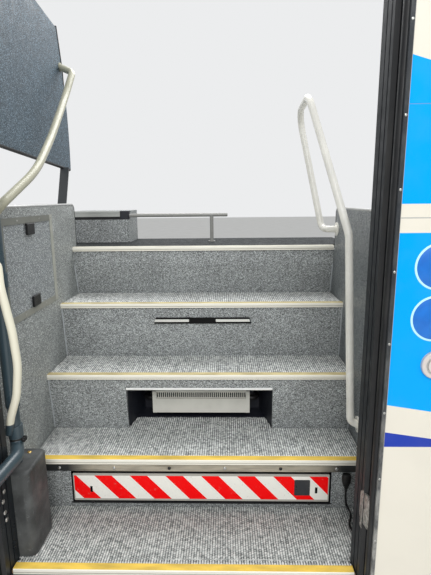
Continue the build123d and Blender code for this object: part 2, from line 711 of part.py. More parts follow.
def make_arm():
    x, y = column_x, COLUMN_Y
    points = [(x, y, COLUMN_FOOT), (x, y, ARM_Z)]
    points += [(x + aside, depth, ARM_Z) for aside, depth in ARM_ROUTE] + [(*leaf_pivot, ARM_Z)]
    arm = bent_rod(points, ARM_BENDS, ARM)
    boss = rod((*leaf_pivot, ARM_Z - 35.0), (*leaf_pivot, ARM_Z + 35.0), 56.0)
    pin = rod((*leaf_pivot, ARM_Z + 34.0), (*leaf_pivot, ARM_Z + 35.0 + LEAF_PIN[1]), LEAF_PIN[0])
    foot = rod((x, y, ARM_Z - PIVOT_PIN[1]), (x, y, ARM_Z), PIVOT_PIN[0])
    return arm + boss + pin + foot


def make_grab_rail():
    """Bowed rail in front of the column, welded to it at both ends."""
    points = [(column_x + aside, y, z) for aside, y, z in GRAB_RAIL]
    rail = bent_rod(points, GRAB_BENDS, GRAB) - make_column()
    return rail.solids().sort_by(SortBy.VOLUME)[-1]


def make_column_bracket():
    z0 = column_head + GLIDE_GAP
    out = jamb_left_out
    far = out - POST_WIDTH
    plan = [(far, post_back), (out, post_back), (out, JAMB_BACK), (column_x + 45, JAMB_BACK),
            (column_x + 45, COLUMN_Y + 45), (column_x - 45, COLUMN_Y + 45), (far, JAMB_BACK)]
    plate = prism_z(plan, z0, z0 + 16.0)
    plate = plate + block(far, out, post_back, post_back + 8.0, z0, z0 + 90.0)
    hole = Pos(column_x, COLUMN_Y, z0) * Cylinder(JOURNAL / 2 + JOURNAL_GAP, 80.0)
    return plate - hole


def make_boot():
    """Guard over the lower bearing of the column."""
    t = GUARD_WALL
    y0 = JAMB_BACK + 2.0
    boot = block(*guard_x, y0, GUARD_REAR, FIRST_TREAD, GUARD_TOP)
    boot = fillet(boot.edges().filter_by(Axis.Z), 24.0)
    boot = fillet(boot.faces().sort_by(Axis.Z)[-1].edges(), 10.0)
    room = block(guard_x[0] + t, guard_x[1] - t, y0 + t, GUARD_REAR - t, FIRST_TREAD - 1, GUARD_TOP - t)
    room = fillet(room.edges().filter_by(Axis.Z), 24.0 - t)
    pillar = rod((column_x, COLUMN_Y, FIRST_TREAD), (column_x, COLUMN_Y, GUARD_TOP - 1), BEARING)
    floor = ARM_Z - PIVOT_PIN[1] - GLIDE_GAP
    bore = rod((column_x, COLUMN_Y, floor), (column_x, COLUMN_Y, GUARD_TOP + 5), PIVOT_PIN[0] + 2 * JOURNAL_GAP)
    return boot - room + pillar - bore


# Doorway trim and skin

def jamb_profile():
    """Plan of the right jamb from its front edge to its back, with grooves."""
    front = post_front
    length = JAMB_BACK - front
    grooves = ((10.0, 6.0, 3.0), (36.0, 22.0, 9.0), (84.0, 5.0, 3.0), (108.0, 5.0, 3.0))
    x0 = door_right + JAMB_SPLAY

    def edge(t):
        return (x0 - JAMB_SPLAY * t / length, front + t)

    points = [edge(0.0)]
    for start, wide, deep in grooves:
        a, b = edge(start), edge(start + wide)
        points += [a, (a[0] + deep, a[1]), (b[0] + deep, b[1]), b]
    points += [edge(length), (jamb_right_out, JAMB_BACK), (jamb_right_out, front)]
    return points


def make_jamb(side):
    points = jamb_profile()
    if side < 0:
        middle = door_left + door_right
        points = [(middle - x, y) for x, y in points]
    jamb = prism_z(points, JAMB_BOTTOM, DOOR_TOP)
    chamber = [(door_right + 26.0, -70.0), (jamb_right_out - 5.0, -70.0),
               (jamb_right_out - 5.0, JAMB_BACK - 6.0), (door_right + 12.0, JAMB_BACK - 6.0),
               (door_right + 12.0, 10.0), (door_right + 26.0, -5.0)]
    if side < 0:
        chamber = [(door_left + door_right - x, y) for x, y in chamber]
    jamb = jamb - prism_z(chamber, JAMB_BOTTOM - 1, DOOR_TOP + 1)
    jamb = jamb - block(-base_out, base_out, post_back, JAMB_BACK + 1, 0, base_top)
    if side > 0:
        jamb = jamb + make_strike()
    return jamb


def make_top_jamb():
    return block(jamb_left_out, jamb_right_out, post_front, JAMB_BACK, DOOR_TOP, DOOR_TOP + 20.0)


def make_skin(side):
    edge = door_right + JAMB_SPLAY + EDGE_STRIP
    if side < 0:
        edge = door_left + door_right - edge
    x0, x1 = sorted((edge, side * skin_out))
    skin = block(x0, x1, SKIN_FACE, SKIN_FACE + SKIN, SKIN_BOTTOM, DOOR_TOP)
    return skin + make_edge_strip(side)


def make_top_skin():
    return block(-skin_out, skin_out, SKIN_FACE, SKIN_FACE + SKIN, DOOR_TOP, skin_top)


def make_edge_strip(side):
    x0 = door_right + JAMB_SPLAY
    x1 = x0 + EDGE_STRIP
    if side < 0:
        x0, x1 = door_left + door_right - x1, door_left + door_right - x0
    return block(x0, x1, SKIN_FACE - 3.0, SKIN_FACE + SKIN, SKIN_BOTTOM, DOOR_TOP)


def make_strike():
    """Lock striker on the right jamb's inner face."""
    x = jamb_face(-10.0)
    return block(x - 5.0, x + 8.0, -26.0, -10.0, 305.0, 425.0)


def make_button():
    x, z = door_right + BUTTON[0], BUTTON[1]
    body = rod((x, SKIN_FACE, z), (x, SKIN_FACE - 10.0, z), 76.0)
    body = fillet(body.edges().sort_by(Axis.Y)[0], 4.0)
    return body + rod((x, SKIN_FACE - 9.0, z), (x, SKIN_FACE - 14.0, z), 46.0)


def make_podium():
    """Hollow podium on the landing, open at the rear, rebated at its upper front edge."""
    x0, x1 = -half + PODIUM[0], -half + PODIUM[1]
    floor = tread_z[4]
    step = floor + PODIUM_STEP
    top = step + PODIUM_GAP + PODIUM_EDGE
    body = block(x0, x1, PODIUM_Y, rear, floor, top)
    body = body - block(x0 - 1, x1 + 1, PODIUM_Y - 1, PODIUM_Y + PODIUM_EDGE, step, top + 1)
    room = block(x0 + BOARD, x1 - BOARD, PODIUM_Y + BOARD, rear + 1, floor - 1, step - BOARD)
    high_room = block(x0 + BOARD, x1 - BOARD, PODIUM_Y + PODIUM_EDGE + BOARD, rear + 1, floor - 1, top - BOARD)
    return body - room - high_room


def make_podium_edge():
    """Edge profile in the podium's rebate, over a set-back strip."""
    x0, x1 = -half + PODIUM[0], -half + PODIUM[1] - SOCKET
    y0, y1 = PODIUM_Y, PODIUM_Y + PODIUM_EDGE
    z0 = tread_z[4] + PODIUM_STEP
    z1 = z0 + PODIUM_GAP
    z2 = z1 + PODIUM_EDGE
    profile = [(y0 + 8.0, z0), (y1, z0), (y1, z2), (y0 + 2.0, z2), (y0, z2 - 2.0), (y0, z1 + 19.0),
               (y0 + 1.5, z1 + 18.0), (y0 + 1.5, z1 + 15.0), (y0, z1 + 14.0), (y0, z1), (y0 + 8.0, z1)]
    return prism_x(profile, x0, x1)


def make_rail_socket():
    """Block at the podium's corner that holds the low rail."""
    x1 = -half + PODIUM[1]
    z0 = tread_z[4] + PODIUM_STEP
    socket = block(x1 - SOCKET, x1, PODIUM_Y, PODIUM_Y + PODIUM_EDGE, z0, z0 + PODIUM_GAP + PODIUM_EDGE)
    return chamfer(socket.faces().sort_by(Axis.Y)[0].edges(), 3.0)


def make_low_rail():
    """Low rail from the podium's corner over the landing, on one post."""
    thick, end, y = LOW_RAIL
    z = tread_z[4] + PODIUM_STEP + PODIUM_GAP + 5.0
    rail = rod((-half + PODIUM[1], y, z), (end, y, z), thick)
    rail = fillet(rail.edges().sort_by(Axis.X)[-1], 4.0)
    post = rod((LOW_POST, y, tread_z[4]), (LOW_POST, y, z), thick)
    return rail + post + flange((LOW_POST, y, tread_z[4]), (0, 0, 1), 2 * thick, 4.0)


# Plug and cord

def make_plug():
    y = riser_y(0, PLUG_Z[1])
    plug = block(plug_x - 17.0, plug_x + 17.0, y - 26.0, y, *PLUG_Z)
    plug = fillet(plug.edges().filter_by(Axis.Z), 6.0)
    return plug + rod((plug_x, y - 13.0, PLUG_Z[0] - 18.0), (plug_x, y - 13.0, PLUG_Z[0] + 1.0), 12.0)


def cord_route():
    """From the gland in the wall, over the mat and up to the plug."""
    y, z = GLAND
    plug_y = riser_y(0, PLUG_Z[1]) - 13.0
    lie = FIRST_TREAD + CORD / 2 + 0.5
    return [
        (half - 18.0, y, z), (half - 48.0, y, z), (562.0, y + 14.0, lie), (546.0, y + 50.0, lie),
        (564.0, y + 84.0, lie), (plug_x + 9.0, y + 106.0, lie + 8.0), (plug_x, plug_y, lie + 36.0),
        (plug_x, plug_y, PLUG_Z[0] - 18.0),
    ]


def make_cord():
    route = [Vector(*p) for p in cord_route()]
    radii = []
    for a, b, c in zip(route, route[1:], route[2:]):
        turn = math.radians((b - a).get_angle(c - b))
        radii.append(0.45 * min((b - a).length, (c - b).length) / math.tan(turn / 2))
    print("cord radii", [round(r, 1) for r in radii])
    return bent_rod([tuple(p) for p in route], radii, CORD)


def make_gland():
    y, z = GLAND
    plane = Plane(origin=(half, y, z), z_dir=(-1, 0, 0))
    nut = extrude(plane * RegularPolygon(11.0, 6), amount=8.0)
    return nut + loft([plane.offset(7.5) * Circle(7.0), plane.offset(18.0) * Circle(5.0)])


def make_all():
    parts["base_frame"] = make_base()
    parts["stair_frame_left"] = make_stair_frame(-1, LEFT_WALL_TOP, LEFT_WALL_REAR)
    parts["stair_frame_right"] = make_stair_frame(1, RIGHT_WALL_TOP, RIGHT_WALL_REAR)
    parts["rear_frame"] = make_rear_frame()
    parts["tread_bearers"] = make_bearers()
    parts["door_frame_left"] = make_door_post(-1)
    parts["door_frame_right"] = make_door_post(1)
    parts["header"] = make_header()
    parts["tread_boards"] = Compound([make_deck(i) for i in range(4)])
    for i in range(4):
        parts[f"riser_{i + 1}"] = make_riser(i)
        parts[f"mat_{i + 1}"] = make_mat(i)
    parts["nosings"] = Compound([make_nosing(i) for i in range(5)])
    parts["landing_floor"] = make_landing()
    parts["side_wall_left"] = make_side_wall(-1, LEFT_WALL_TOP, LEFT_WALL_REAR)
    parts["side_wall_right"] = make_side_wall(1, RIGHT_WALL_TOP, RIGHT_WALL_REAR)
    parts["hatch_frame"] = make_hatch_frame()
    parts["hatch_cover"] = make_hatch_cover()
    parts["lift_cassette"] = make_cassette()
    parts["lift_platform"] = make_platform()
    parts["lift_surround"] = make_lift_frame()
    parts["step_strip"] = make_step_strip()
    parts["niche_box"] = make_niche()
    parts["heater"] = make_heater()
    parts["heater_hoses"] = make_hoses()
    parts["trim_bar"] = make_trim_bar()
    parts["handrail_right"] = make_right_rail()
    parts["handrail_left"] = make_left_rail()
    parts["screen_panel"] = make_screen()
    parts["screen_post"] = make_screen_post()
    parts["door_column"] = make_column()
    parts["door_arm"] = make_arm()
    parts["grab_rail"] = make_grab_rail()
    parts["column_bracket"] = make_column_bracket()
    parts["column_guard"] = make_boot()
    parts["jamb_left"] = make_jamb(-1)
    parts["jamb_right"] = make_jamb(1)
    parts["jamb_top"] = make_top_jamb()
    parts["skin_left"] = make_skin(-1)
    parts["skin_right"] = make_skin(1)
    parts["skin_top"] = make_top_skin()
    parts["door_button"] = make_button()
    parts["podium"] = make_podium()
    parts["podium_edge"] = make_podium_edge()
    parts["rail_socket"] = make_rail_socket()
    parts["landing_rail"] = make_low_rail()
    parts["plug"] = make_plug()
    parts["cord"] = make_cord()
    parts["cord_gland"] = make_gland()


make_all()
os.makedirs("parts", exist_ok=True)
for name, shape in parts.items():
    export_step(shape, f"parts/{name}.step")
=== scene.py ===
# %% [markdown]
# Coach entrance stairwell: a lesson in dressing a CAD frame
#
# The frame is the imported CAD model, whose nodes this script never moves. It gives
# each node a finish made of shader nodes, and adds what a lathe, a press or a loom
# would make: looped mats, ribbed inserts, screws, seals and the cord.

# %% Load the frame
from functools import partialmethod
import bpy
import bmesh
import numpy as np
from mathutils import Matrix, Vector


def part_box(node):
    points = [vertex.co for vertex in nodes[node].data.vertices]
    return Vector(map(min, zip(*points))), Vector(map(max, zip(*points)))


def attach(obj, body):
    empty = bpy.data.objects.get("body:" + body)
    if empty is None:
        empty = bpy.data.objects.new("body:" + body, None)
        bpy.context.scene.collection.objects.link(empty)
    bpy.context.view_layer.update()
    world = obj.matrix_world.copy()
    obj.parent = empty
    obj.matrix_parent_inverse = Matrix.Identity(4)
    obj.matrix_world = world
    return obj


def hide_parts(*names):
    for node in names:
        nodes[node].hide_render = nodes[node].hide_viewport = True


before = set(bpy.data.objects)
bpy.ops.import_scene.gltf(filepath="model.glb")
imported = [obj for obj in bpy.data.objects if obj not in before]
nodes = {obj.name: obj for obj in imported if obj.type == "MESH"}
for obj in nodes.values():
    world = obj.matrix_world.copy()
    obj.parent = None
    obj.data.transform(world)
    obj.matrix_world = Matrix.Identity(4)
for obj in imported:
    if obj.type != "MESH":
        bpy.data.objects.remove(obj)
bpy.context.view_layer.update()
scene = bpy.context.scene


def shown(name, data):
    """An object made of this data and linked to the scene."""
    thing = bpy.data.objects.new(name, data)
    scene.collection.objects.link(thing)
    return thing


# %% [markdown]
# The camera
#
# The camera stands just outside the doorway, about 1.3 m up, tipped 11.5 degrees
# down. Three angles give its right, up and forward directions, the columns of its
# matrix.

# %% Camera
EYE = (0.1136, -1.1882, 1.2919)
YAW, TILT, ROLL = np.radians((-1.4528, 11.4999, -0.5944))
FOCAL_PIXELS, PHOTO_HEIGHT, SENSOR = 435.58, 575, 36.0

level_right = np.array((np.cos(YAW), -np.sin(YAW), 0))
level_up = np.array((np.sin(YAW) * np.sin(TILT), np.cos(YAW) * np.sin(TILT), np.cos(TILT)))
forward = np.array((np.sin(YAW) * np.cos(TILT), np.cos(YAW) * np.cos(TILT), -np.sin(TILT)))
right = level_right * np.cos(ROLL) + level_up * np.sin(ROLL)
up = level_up * np.cos(ROLL) - level_right * np.sin(ROLL)

lens = bpy.data.cameras.new("camera")
lens.lens = FOCAL_PIXELS / PHOTO_HEIGHT * SENSOR
lens.sensor_width = SENSOR
camera = shown("camera", lens)
placed = Matrix([list(row) for row in np.column_stack((right, up, -forward))]).to_4x4()
placed.translation = EYE
camera.matrix_world = placed
scene.camera = camera
scene.view_settings.view_transform = "Standard"
print("lens", round(lens.lens, 2), "mm")

# %% [markdown]
# Shapes from arrays
#
# Every new piece is a grid of points worked out with numpy: one direction runs
# along the piece, the other round it. A straight moulding is a profile carried
# between two ends, and a bead or a seal is a circle carried along a path.

# %% Helpers for meshes
X, Y, Z = 0, 1, 2
finishes = {}


def grid_faces(rows, columns, around):
    """Quads between neighbours of a grid; around joins the last column to the first."""
    i = np.arange(rows - 1)[:, None]
    j = np.arange(columns if around else columns - 1)[None, :]
    k = (j + 1) % columns
    corners = (i * columns + j, i * columns + k, (i + 1) * columns + k, (i + 1) * columns + j)
    return np.stack(np.broadcast_arrays(*corners), -1).reshape(-1, 4)


def finish_piece(name, points, faces, finish, body="root", smooth=35.0):
    """Makes a mesh object of points and faces, with outward normals, on a body."""
    mesh = bpy.data.meshes.new(name)
    mesh.from_pydata(points, [], [list(map(int, face)) for face in faces])
    work = bmesh.new()
    work.from_mesh(mesh)
    bmesh.ops.recalc_face_normals(work, faces=work.faces)
    work.to_mesh(mesh)
    work.free()
    mesh.materials.append(finishes[finish])
    piece = shown(name, mesh)
    if smooth:
        mesh.set_sharp_from_angle(angle=np.radians(smooth))
    mesh.polygons.foreach_set("use_smooth", np.ones(len(mesh.polygons), bool))
    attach(piece, body)
    return piece


def tubes(name, grids, finish, body="root", smooth=35.0):
    """A piece of grids whose columns run round, each with both its ends closed."""
    points, faces, start = [], [], 0
    for grid in grids:
        rows, columns = grid.shape[:2]
        points.append(grid.reshape(-1, 3))
        faces += [*(grid_faces(rows, columns, True) + start)]
        faces.append([*range(start, start + columns)][::-1])
        start += rows * columns
        faces.append([*range(start - columns, start)])
    return finish_piece(name, np.concatenate(points), faces, finish, body, smooth)


def carried(profile, axis, ends):
    """A flat profile carried along an axis: its section is the same at each end."""
    return np.stack([np.insert(profile, axis, end, axis=1) for end in ends])


def round_bar(path, radius, sides):
    """A circle carried along a path: its plane is square to the path's direction."""
    path = np.asarray(path, float)
    ahead = np.gradient(path, axis=0)
    ahead /= np.linalg.norm(ahead, axis=1, keepdims=True)
    side = np.cross(ahead, (0.13, 0.27, 1.0))
    side /= np.linalg.norm(side, axis=1, keepdims=True)
    other = np.cross(ahead, side)
    turn = np.linspace(0, 2 * np.pi, sides, endpoint=False)[None, :, None]
    return path[:, None] + radius * (np.cos(turn) * side[:, None] + np.sin(turn) * other[:, None])


def turned(profile, centre, axis, sides):
    """A (radius, height) profile turned about an axis through a centre, as on a lathe."""
    centre, axis = np.array((centre, axis), float)
    first = np.cross(axis, (0.31, 0.2, 0.93) if abs(axis[2]) < 0.9 else (1.0, 0, 0))
    first /= np.linalg.norm(first)
    second = np.cross(axis, first)
    turn = np.linspace(0, 2 * np.pi, sides, endpoint=False)[None, :, None]
    radius, height = (np.asarray(v, float)[:, None, None] for v in zip(*profile))
    return centre + radius * (np.cos(turn) * first + np.sin(turn) * second) + height * axis


def rounded(x0, x1, z0, z1, radius):
    """Outline of a rounded rectangle: a quarter circle of five points at each corner."""
    turns = np.concatenate([np.linspace(0, np.pi / 2, 5) + k * np.pi / 2 for k in range(4)])
    middle_x = np.repeat((x1 - radius, x0 + radius, x0 + radius, x1 - radius), 5)
    middle_z = np.repeat((z1 - radius, z1 - radius, z0 + radius, z0 + radius), 5)
    return np.column_stack((middle_x + radius * np.cos(turns), middle_z + radius * np.sin(turns)))


# %% [markdown]
# Finishes
#
# A finish is a small tree of shader nodes. Its patterns read Object coordinates,
# which are metres here, so a fleck of 2 mm is 2 mm on every piece. Each method of
# the helper class adds a node or a few and returns a socket.

# %% Helper for finishes
SHADER_SOCKETS = {
    "colour": "Base Color", "rough": "Roughness", "metal": "Metallic", "coat": "Coat Weight",
    "coat_rough": "Coat Roughness", "sheen": "Sheen Weight", "specular": "Specular IOR Level",
}


def tone(red, green, blue):
    """A colour as the eye reads it, 0 to 255, in the linear values that light adds up in."""
    share = np.array((red, green, blue)) / 255
    linear = np.where(share <= 0.04045, share / 12.92, ((share + 0.055) / 1.055) ** 2.4)
    return (*map(float, linear), 1.0)


def scaled(colour, share):
    """A colour times a share."""
    return (*(share * c for c in colour[:3]), 1.0)


def dress(names, finish):
    """Gives each named node one finish."""
    for name in names.split():
        slots = nodes[name].data.materials
        slots.clear()
        slots.append(finishes[finish])


class Finish:
    """A material made of nodes round one shader, and the CAD nodes that wear it."""

    def __init__(self, name, worn_by="", **fixed):
        material = finishes[name] = bpy.data.materials.new(name)
        material.use_nodes = True
        self.tree = material.node_tree
        self.shader = self.tree.nodes["Principled BSDF"]
        self.place = self.add("TexCoord").outputs["Object"]
        axes = self.add("SeparateXYZ")
        self.feed(axes.inputs[0], self.place)
        self.x, self.y, self.z = axes.outputs
        self.shade(**fixed)
        dress(worn_by, name)

    def add(self, kind, **settings):
        """A new node with its settings."""
        node = self.tree.nodes.new("ShaderNode" + kind)
        for name, value in settings.items():
            setattr(node, name, value)
        return node

    def feed(self, socket, value):
        """Links a socket, or sets it to a plain value."""
        if isinstance(value, bpy.types.NodeSocket):
            self.tree.links.new(value, socket)
        else:
            socket.default_value = value

    def shade(self, **values):
        """Feeds the shader's colour, gloss and so on."""
        for name, value in values.items():
            self.feed(self.shader.inputs[SHADER_SOCKETS[name]], value)

    def math(self, operation, *values):
        """One sum or comparison of two values."""
        node = self.add("Math", operation=operation)
        for socket, value in zip(node.inputs, values):
            self.feed(socket, value)
        return node.outputs[0]

    times, minus = partialmethod(math, "MULTIPLY"), partialmethod(math, "SUBTRACT")
    over, under = partialmethod(math, "GREATER_THAN"), partialmethod(math, "LESS_THAN")
    most = partialmethod(math, "MAXIMUM")

    def noise(self, size, detail, stretch=(1, 1, 1), sharp=0.5):
        """Clouds whose features are about size metres across."""
        spread = self.add("Mapping")
        self.feed(spread.inputs["Vector"], self.place)
        spread.inputs["Scale"].default_value = stretch
        node = self.add("TexNoise")
        self.feed(node.inputs["Vector"], spread.outputs[0])
        for name, value in (("Scale", 1 / size), ("Detail", detail), ("Roughness", sharp)):
            node.inputs[name].default_value = value
        return node.outputs["Fac"]

    def flecks(self, size, distance=False):
        """Cells of about size metres: each cell's own random value, or the distance to its middle."""
        node = self.add("TexVoronoi")
        self.feed(node.inputs["Vector"], self.place)
        node.inputs["Scale"].default_value = 1 / size
        if distance:
            return node.outputs["Distance"]
        split = self.add("SeparateColor")
        self.feed(split.inputs[0], node.outputs["Color"])
        return split.outputs[0]

    def ramp(self, value, *stops, steps=False):
        """A value turned into a colour or a share between stops of (position, colour)."""
        node = self.add("ValToRGB")
        node.color_ramp.interpolation = "CONSTANT" if steps else "LINEAR"
        points = node.color_ramp.elements
        while len(points) < len(stops):
            points.new(1.0)
        for point, (position, colour) in zip(points, stops):
            point.position = position
            point.color = colour if isinstance(colour, tuple) else (colour, colour, colour, 1.0)
        self.feed(node.inputs[0], value)
        return node.outputs[0]

    def clouds(self, size, detail, first, second, low=0.3, high=0.7, **kind):
        """Noise as a share or a colour: the first where it is under low, the second over high."""
        return self.ramp(self.noise(size, detail, **kind), (low, first), (high, second))

    def mix(self, share, first, second, blend="MIX"):
        """The first colour where share is 0 and the second where it is 1."""
        node = self.add("Mix", data_type="RGBA", blend_type=blend)
        for socket, value in ((0, share), (6, first), (7, second)):
            self.feed(node.inputs[socket], value)
        return node.outputs[2]

    def inside(self, value, low, high):
        """1 between two values and 0 outside: how far off the middle, against half the width."""
        off = self.math("ABSOLUTE", self.minus(value, (low + high) / 2))
        return self.under(off, (high - low) / 2)

    def within(self, **sides):
        """1 inside a box given by its sides, such as x=(low, high), and 0 outside."""
        share = 1.0
        for axis, (low, high) in sides.items():
            share = self.times(share, self.inside(getattr(self, axis), low, high))
        return share

    def edges(self, radius):
        """1 on outer edges, where the bevelled normal leaves the true one, and 0 on flat ground."""
        bevel = self.add("Bevel", samples=4)
        bevel.inputs["Radius"].default_value = radius
        dot = self.add("VectorMath", operation="DOT_PRODUCT")
        self.feed(dot.inputs[0], bevel.outputs[0])
        self.feed(dot.inputs[1], self.add("NewGeometry").outputs["Normal"])
        return self.ramp(dot.outputs["Value"], (0.75, 1.0), (0.97, 0.0))

    def relief(self, height, depth, strength=1.0):
        """Turns a height pattern into shading, depth metres from black to white."""
        bump = self.add("Bump")
        bump.inputs["Strength"].default_value = strength
        bump.inputs["Distance"].default_value = depth
        self.feed(bump.inputs["Height"], height)
        self.feed(self.shader.inputs["Normal"], bump.outputs[0])

    def grain(self, size, detail, depth, **kind):
        """Noise as relief."""
        self.relief(self.noise(size, detail, **kind), depth)


def mottled(name, first, second, size, detail, **fixed):
    """A finish that drifts between two colours in clouds of a size."""
    finish = Finish(name, **fixed)
    finish.shade(colour=finish.clouds(size, detail, first, second))


# %% [markdown]
# Speckled vinyl covers the risers, the walls, the podium and the screen. A chip is
# the middle of a cell: the distance to that middle says how large it is, and the
# cell's random value whether it is dark, pale or missing. Chips of two sizes lie
# over the ground, and soft clouds stand for scuffs.

# %% Speckled vinyl
CHIP = 0.0052


def speckled(finish, ground):
    """The ground with chips in it: larger ones and, between them, some of half the size."""
    dark = scaled(ground, 0.16)
    pale = (*(min(1.0, 2.1 * c + 0.05) for c in ground[:3]), 1.0)
    colour = ground
    for size, reach in ((CHIP * 0.55, 0.42), (CHIP, 0.36)):
        kind = finish.ramp(finish.flecks(size), (0.0, dark), (0.46, ground), (0.72, pale), steps=True)
        colour = finish.mix(finish.under(finish.flecks(size, distance=True), reach), colour, kind)
    return colour


def speckled_vinyl(name, ground, rough=0.55, specular=0.4):
    """Speckles times soft scuffs, with a gloss that drifts 0.1 either way."""
    finish = Finish(name, specular=specular)
    scuffs = finish.clouds(0.16, 5.0, 0.86, 1.04, 0.35, 0.70)
    finish.shade(colour=finish.mix(1.0, speckled(finish, ground), scuffs, "MULTIPLY"),
                 rough=finish.clouds(0.03, 3.0, rough - 0.1, rough + 0.1))
    finish.grain(0.0016, 2.0, 0.0004)


speckled_vinyl("riser_vinyl", tone(150, 154, 154))
speckled_vinyl("wall_vinyl", tone(156, 160, 159), rough=0.38)
# The right wall wears the wall vinyl made darker, as painted shade.
speckled_vinyl("shaded_wall_vinyl", tone(132, 137, 139), rough=0.38)
speckled_vinyl("screen_vinyl", tone(90, 108, 121))
speckled_vinyl("floor_vinyl", tone(50, 53, 54), rough=0.62, specular=0.08)

# %% [markdown]
# Paint on metal
#
# The frames have satin paint, the rails a cream powder coat with a faint orange
# peel, and the door column a blue-grey paint that hands have rubbed. The coat of the
# right rail is painted paler as painted light, and that of the left rail darker as
# painted shade. One function makes them all from a colour, a gloss and the size of
# the ripple in the coat.

# %% Painted metal
BARE_STEEL = (0.30, 0.31, 0.32, 1.0)
COLUMN_BLUE = tone(58, 74, 82)
COAT_RIPPLE, FINE_RIPPLE, RIPPLE_DEPTH = 0.004, 0.0025, 0.00012


def paint(name, ground, rough, ripple=COAT_RIPPLE, wear=0.0, **fixed):
    """Paint that drifts a little in colour and gloss; wear lays bare steel on the edges."""
    finish = Finish(name, **fixed)
    colour = finish.clouds(0.09, 4.0, scaled(ground, 0.88), ground, 0.3, 0.65)
    if wear:
        patches = finish.clouds(0.012, 5.0, 0.0, wear, 0.45, 0.62, sharp=0.7)
        colour = finish.mix(finish.times(finish.edges(0.003), patches), colour, BARE_STEEL)
    finish.shade(colour=colour, rough=finish.clouds(0.05, 3.0, rough - 0.08, rough + 0.1, 0.3, 0.75))
    finish.grain(ripple, 1.0, RIPPLE_DEPTH)


paint("frame_paint", tone(62, 65, 68), 0.45)
# Both hand rails wear one cream coat in two copies: the right one paler as painted light, the left one
# darker as painted shade.
paint("lit_rail_coat", tone(254, 252, 243), 0.28, FINE_RIPPLE, coat=0.3, coat_rough=0.15)
paint("shaded_rail_coat", tone(184, 182, 160), 0.30, FINE_RIPPLE, coat=0.2, coat_rough=0.2)
paint("column_paint", COLUMN_BLUE, 0.32, wear=0.9, coat=0.2, coat_rough=0.2)
paint("landing_paint", tone(150, 150, 146), 0.32)
paint("case_black", tone(32, 33, 35), 0.42)
paint("bar_black", tone(10, 10, 11), 0.45, specular=0.15)
paint("niche_paint", tone(26, 29, 38), 0.5)

# %% [markdown]
# Bare and anodised metal
#
# Aluminium edges are drawn through a die, so their fine lines run along X: noise
# stretched a hundred times that way. The nosings are anodised cream, the step
# strip is plain grey.

# %% Drawn aluminium
ALONG_X, EVEN = (0.01, 1, 1), (1, 1, 1)


def drawn(finish, low, high, along=ALONG_X):
    """Fine lines as relief, and the colour between low and high that follows them."""
    lines = finish.noise(0.0012, 3.0, stretch=along)
    finish.relief(lines, 0.00008)
    return lines, finish.ramp(lines, (0.25, low), (0.75, high))


def grimy(finish, colour, dirt_and_shade, dirty):
    """A colour with patches of dirt on it, up to a share, drawn out along X."""
    grime = finish.clouds(0.02, 4.0, 0.0, dirty, 0.48, 0.85, stretch=(0.15, 1, 1))
    return finish.mix(grime, colour, dirt_and_shade)


def drawn_metal(name, ground, rough, dirty, metal=1.0, along=ALONG_X):
    """Metal with fine lines that are darker and duller in their grooves."""
    finish = Finish(name, metal=metal)
    lines, colour = drawn(finish, scaled(ground, 0.82), ground, along)
    finish.shade(colour=grimy(finish, colour, tone(96, 90, 78), dirty),
                 rough=finish.ramp(lines, (0.2, rough + 0.14), (0.8, rough - 0.06)))


drawn_metal("bright_metal", tone(205, 206, 204), 0.30, 0.3)
drawn_metal("screw_metal", tone(190, 190, 186), 0.28, 0.4, along=EVEN)

# %% [markdown]
# Rubber and moulded plastic
#
# The jambs and the seals are black rubber with streaks of dust. The guard at the
# foot of the column is a grey moulding full of shoe marks: long thin scratches are
# noise squeezed in one direction, and the dents are larger clouds in the relief.

# %% Rubber and plastic
STREAKS = {"stretch": (1, 1, 0.25), "sharp": 0.62}


def rubber(name, ground, rough, dust, grain=0.002, depth=0.0002):
    """A ground with streaks of dust up to a share, and a gloss that drifts 0.12 either way."""
    finish = Finish(name, specular=0.35)
    share = finish.clouds(0.05, 6.0, 0.0, dust, 0.45, 0.80, **STREAKS)
    finish.shade(colour=finish.mix(share, ground, tone(128, 126, 120)),
                 rough=finish.clouds(0.04, 4.0, rough - 0.12, rough + 0.12))
    finish.grain(grain, 2.0, depth)


rubber("jamb_rubber", tone(28, 32, 36), 0.34, 0.10)
rubber("seal_rubber", tone(24, 25, 27), 0.42, 0.12)
rubber("cord_rubber", tone(14, 14, 15), 0.42, 0.05, grain=0.001, depth=0.00005)
rubber("button_plastic", tone(204, 197, 193), 0.4, 0.2)

guard = Finish("guard_plastic", specular=0.4)
GUARD_GREY = tone(78, 80, 80)
pale, dark = scaled(GUARD_GREY, 2.0), scaled(GUARD_GREY, 0.45)
blotches = guard.ramp(guard.noise(0.08, 5.0), (0.3, dark), (0.55, GUARD_GREY), (0.85, pale))
scratches = guard.clouds(0.006, 4.0, 0.0, 0.55, 0.62, 0.70, stretch=(1, 1, 0.08), sharp=0.7)
knocks = guard.clouds(0.02, 3.0, 0.0, 0.5, 0.64, 0.68, sharp=0.8)
knocks = guard.most(knocks, guard.times(guard.edges(0.004), 0.7))
guard.shade(colour=guard.mix(knocks, guard.mix(scratches, blotches, pale), pale),
            rough=guard.clouds(0.03, 4.0, 0.42, 0.66))
guard.grain(0.012, 5.0, 0.0012, sharp=0.7)

# %% [markdown]
# Light, floor and background
#
# Floor and sky are pale. The sky lights the part at a modest strength, and only
# what the camera or a reflection sees of it is bright. Two large soft lamps stand
# for the sky before the door and the windows above the landing.

# %% Stage and lamps
SKY = tone(236, 237, 238)
LIGHT_SHARE, FLOOR_REACH = 0.72, 30.0
# Name, position, target, size in metres and watts
LAMPS = (("door_light", (0.3, -3.1, 3.3), (0.0, 0.4, 0.7), 3.0, 120),
         ("window_light", (0.2, 2.2, 3.6), (0.0, 0.6, 0.8), 2.4, 85))

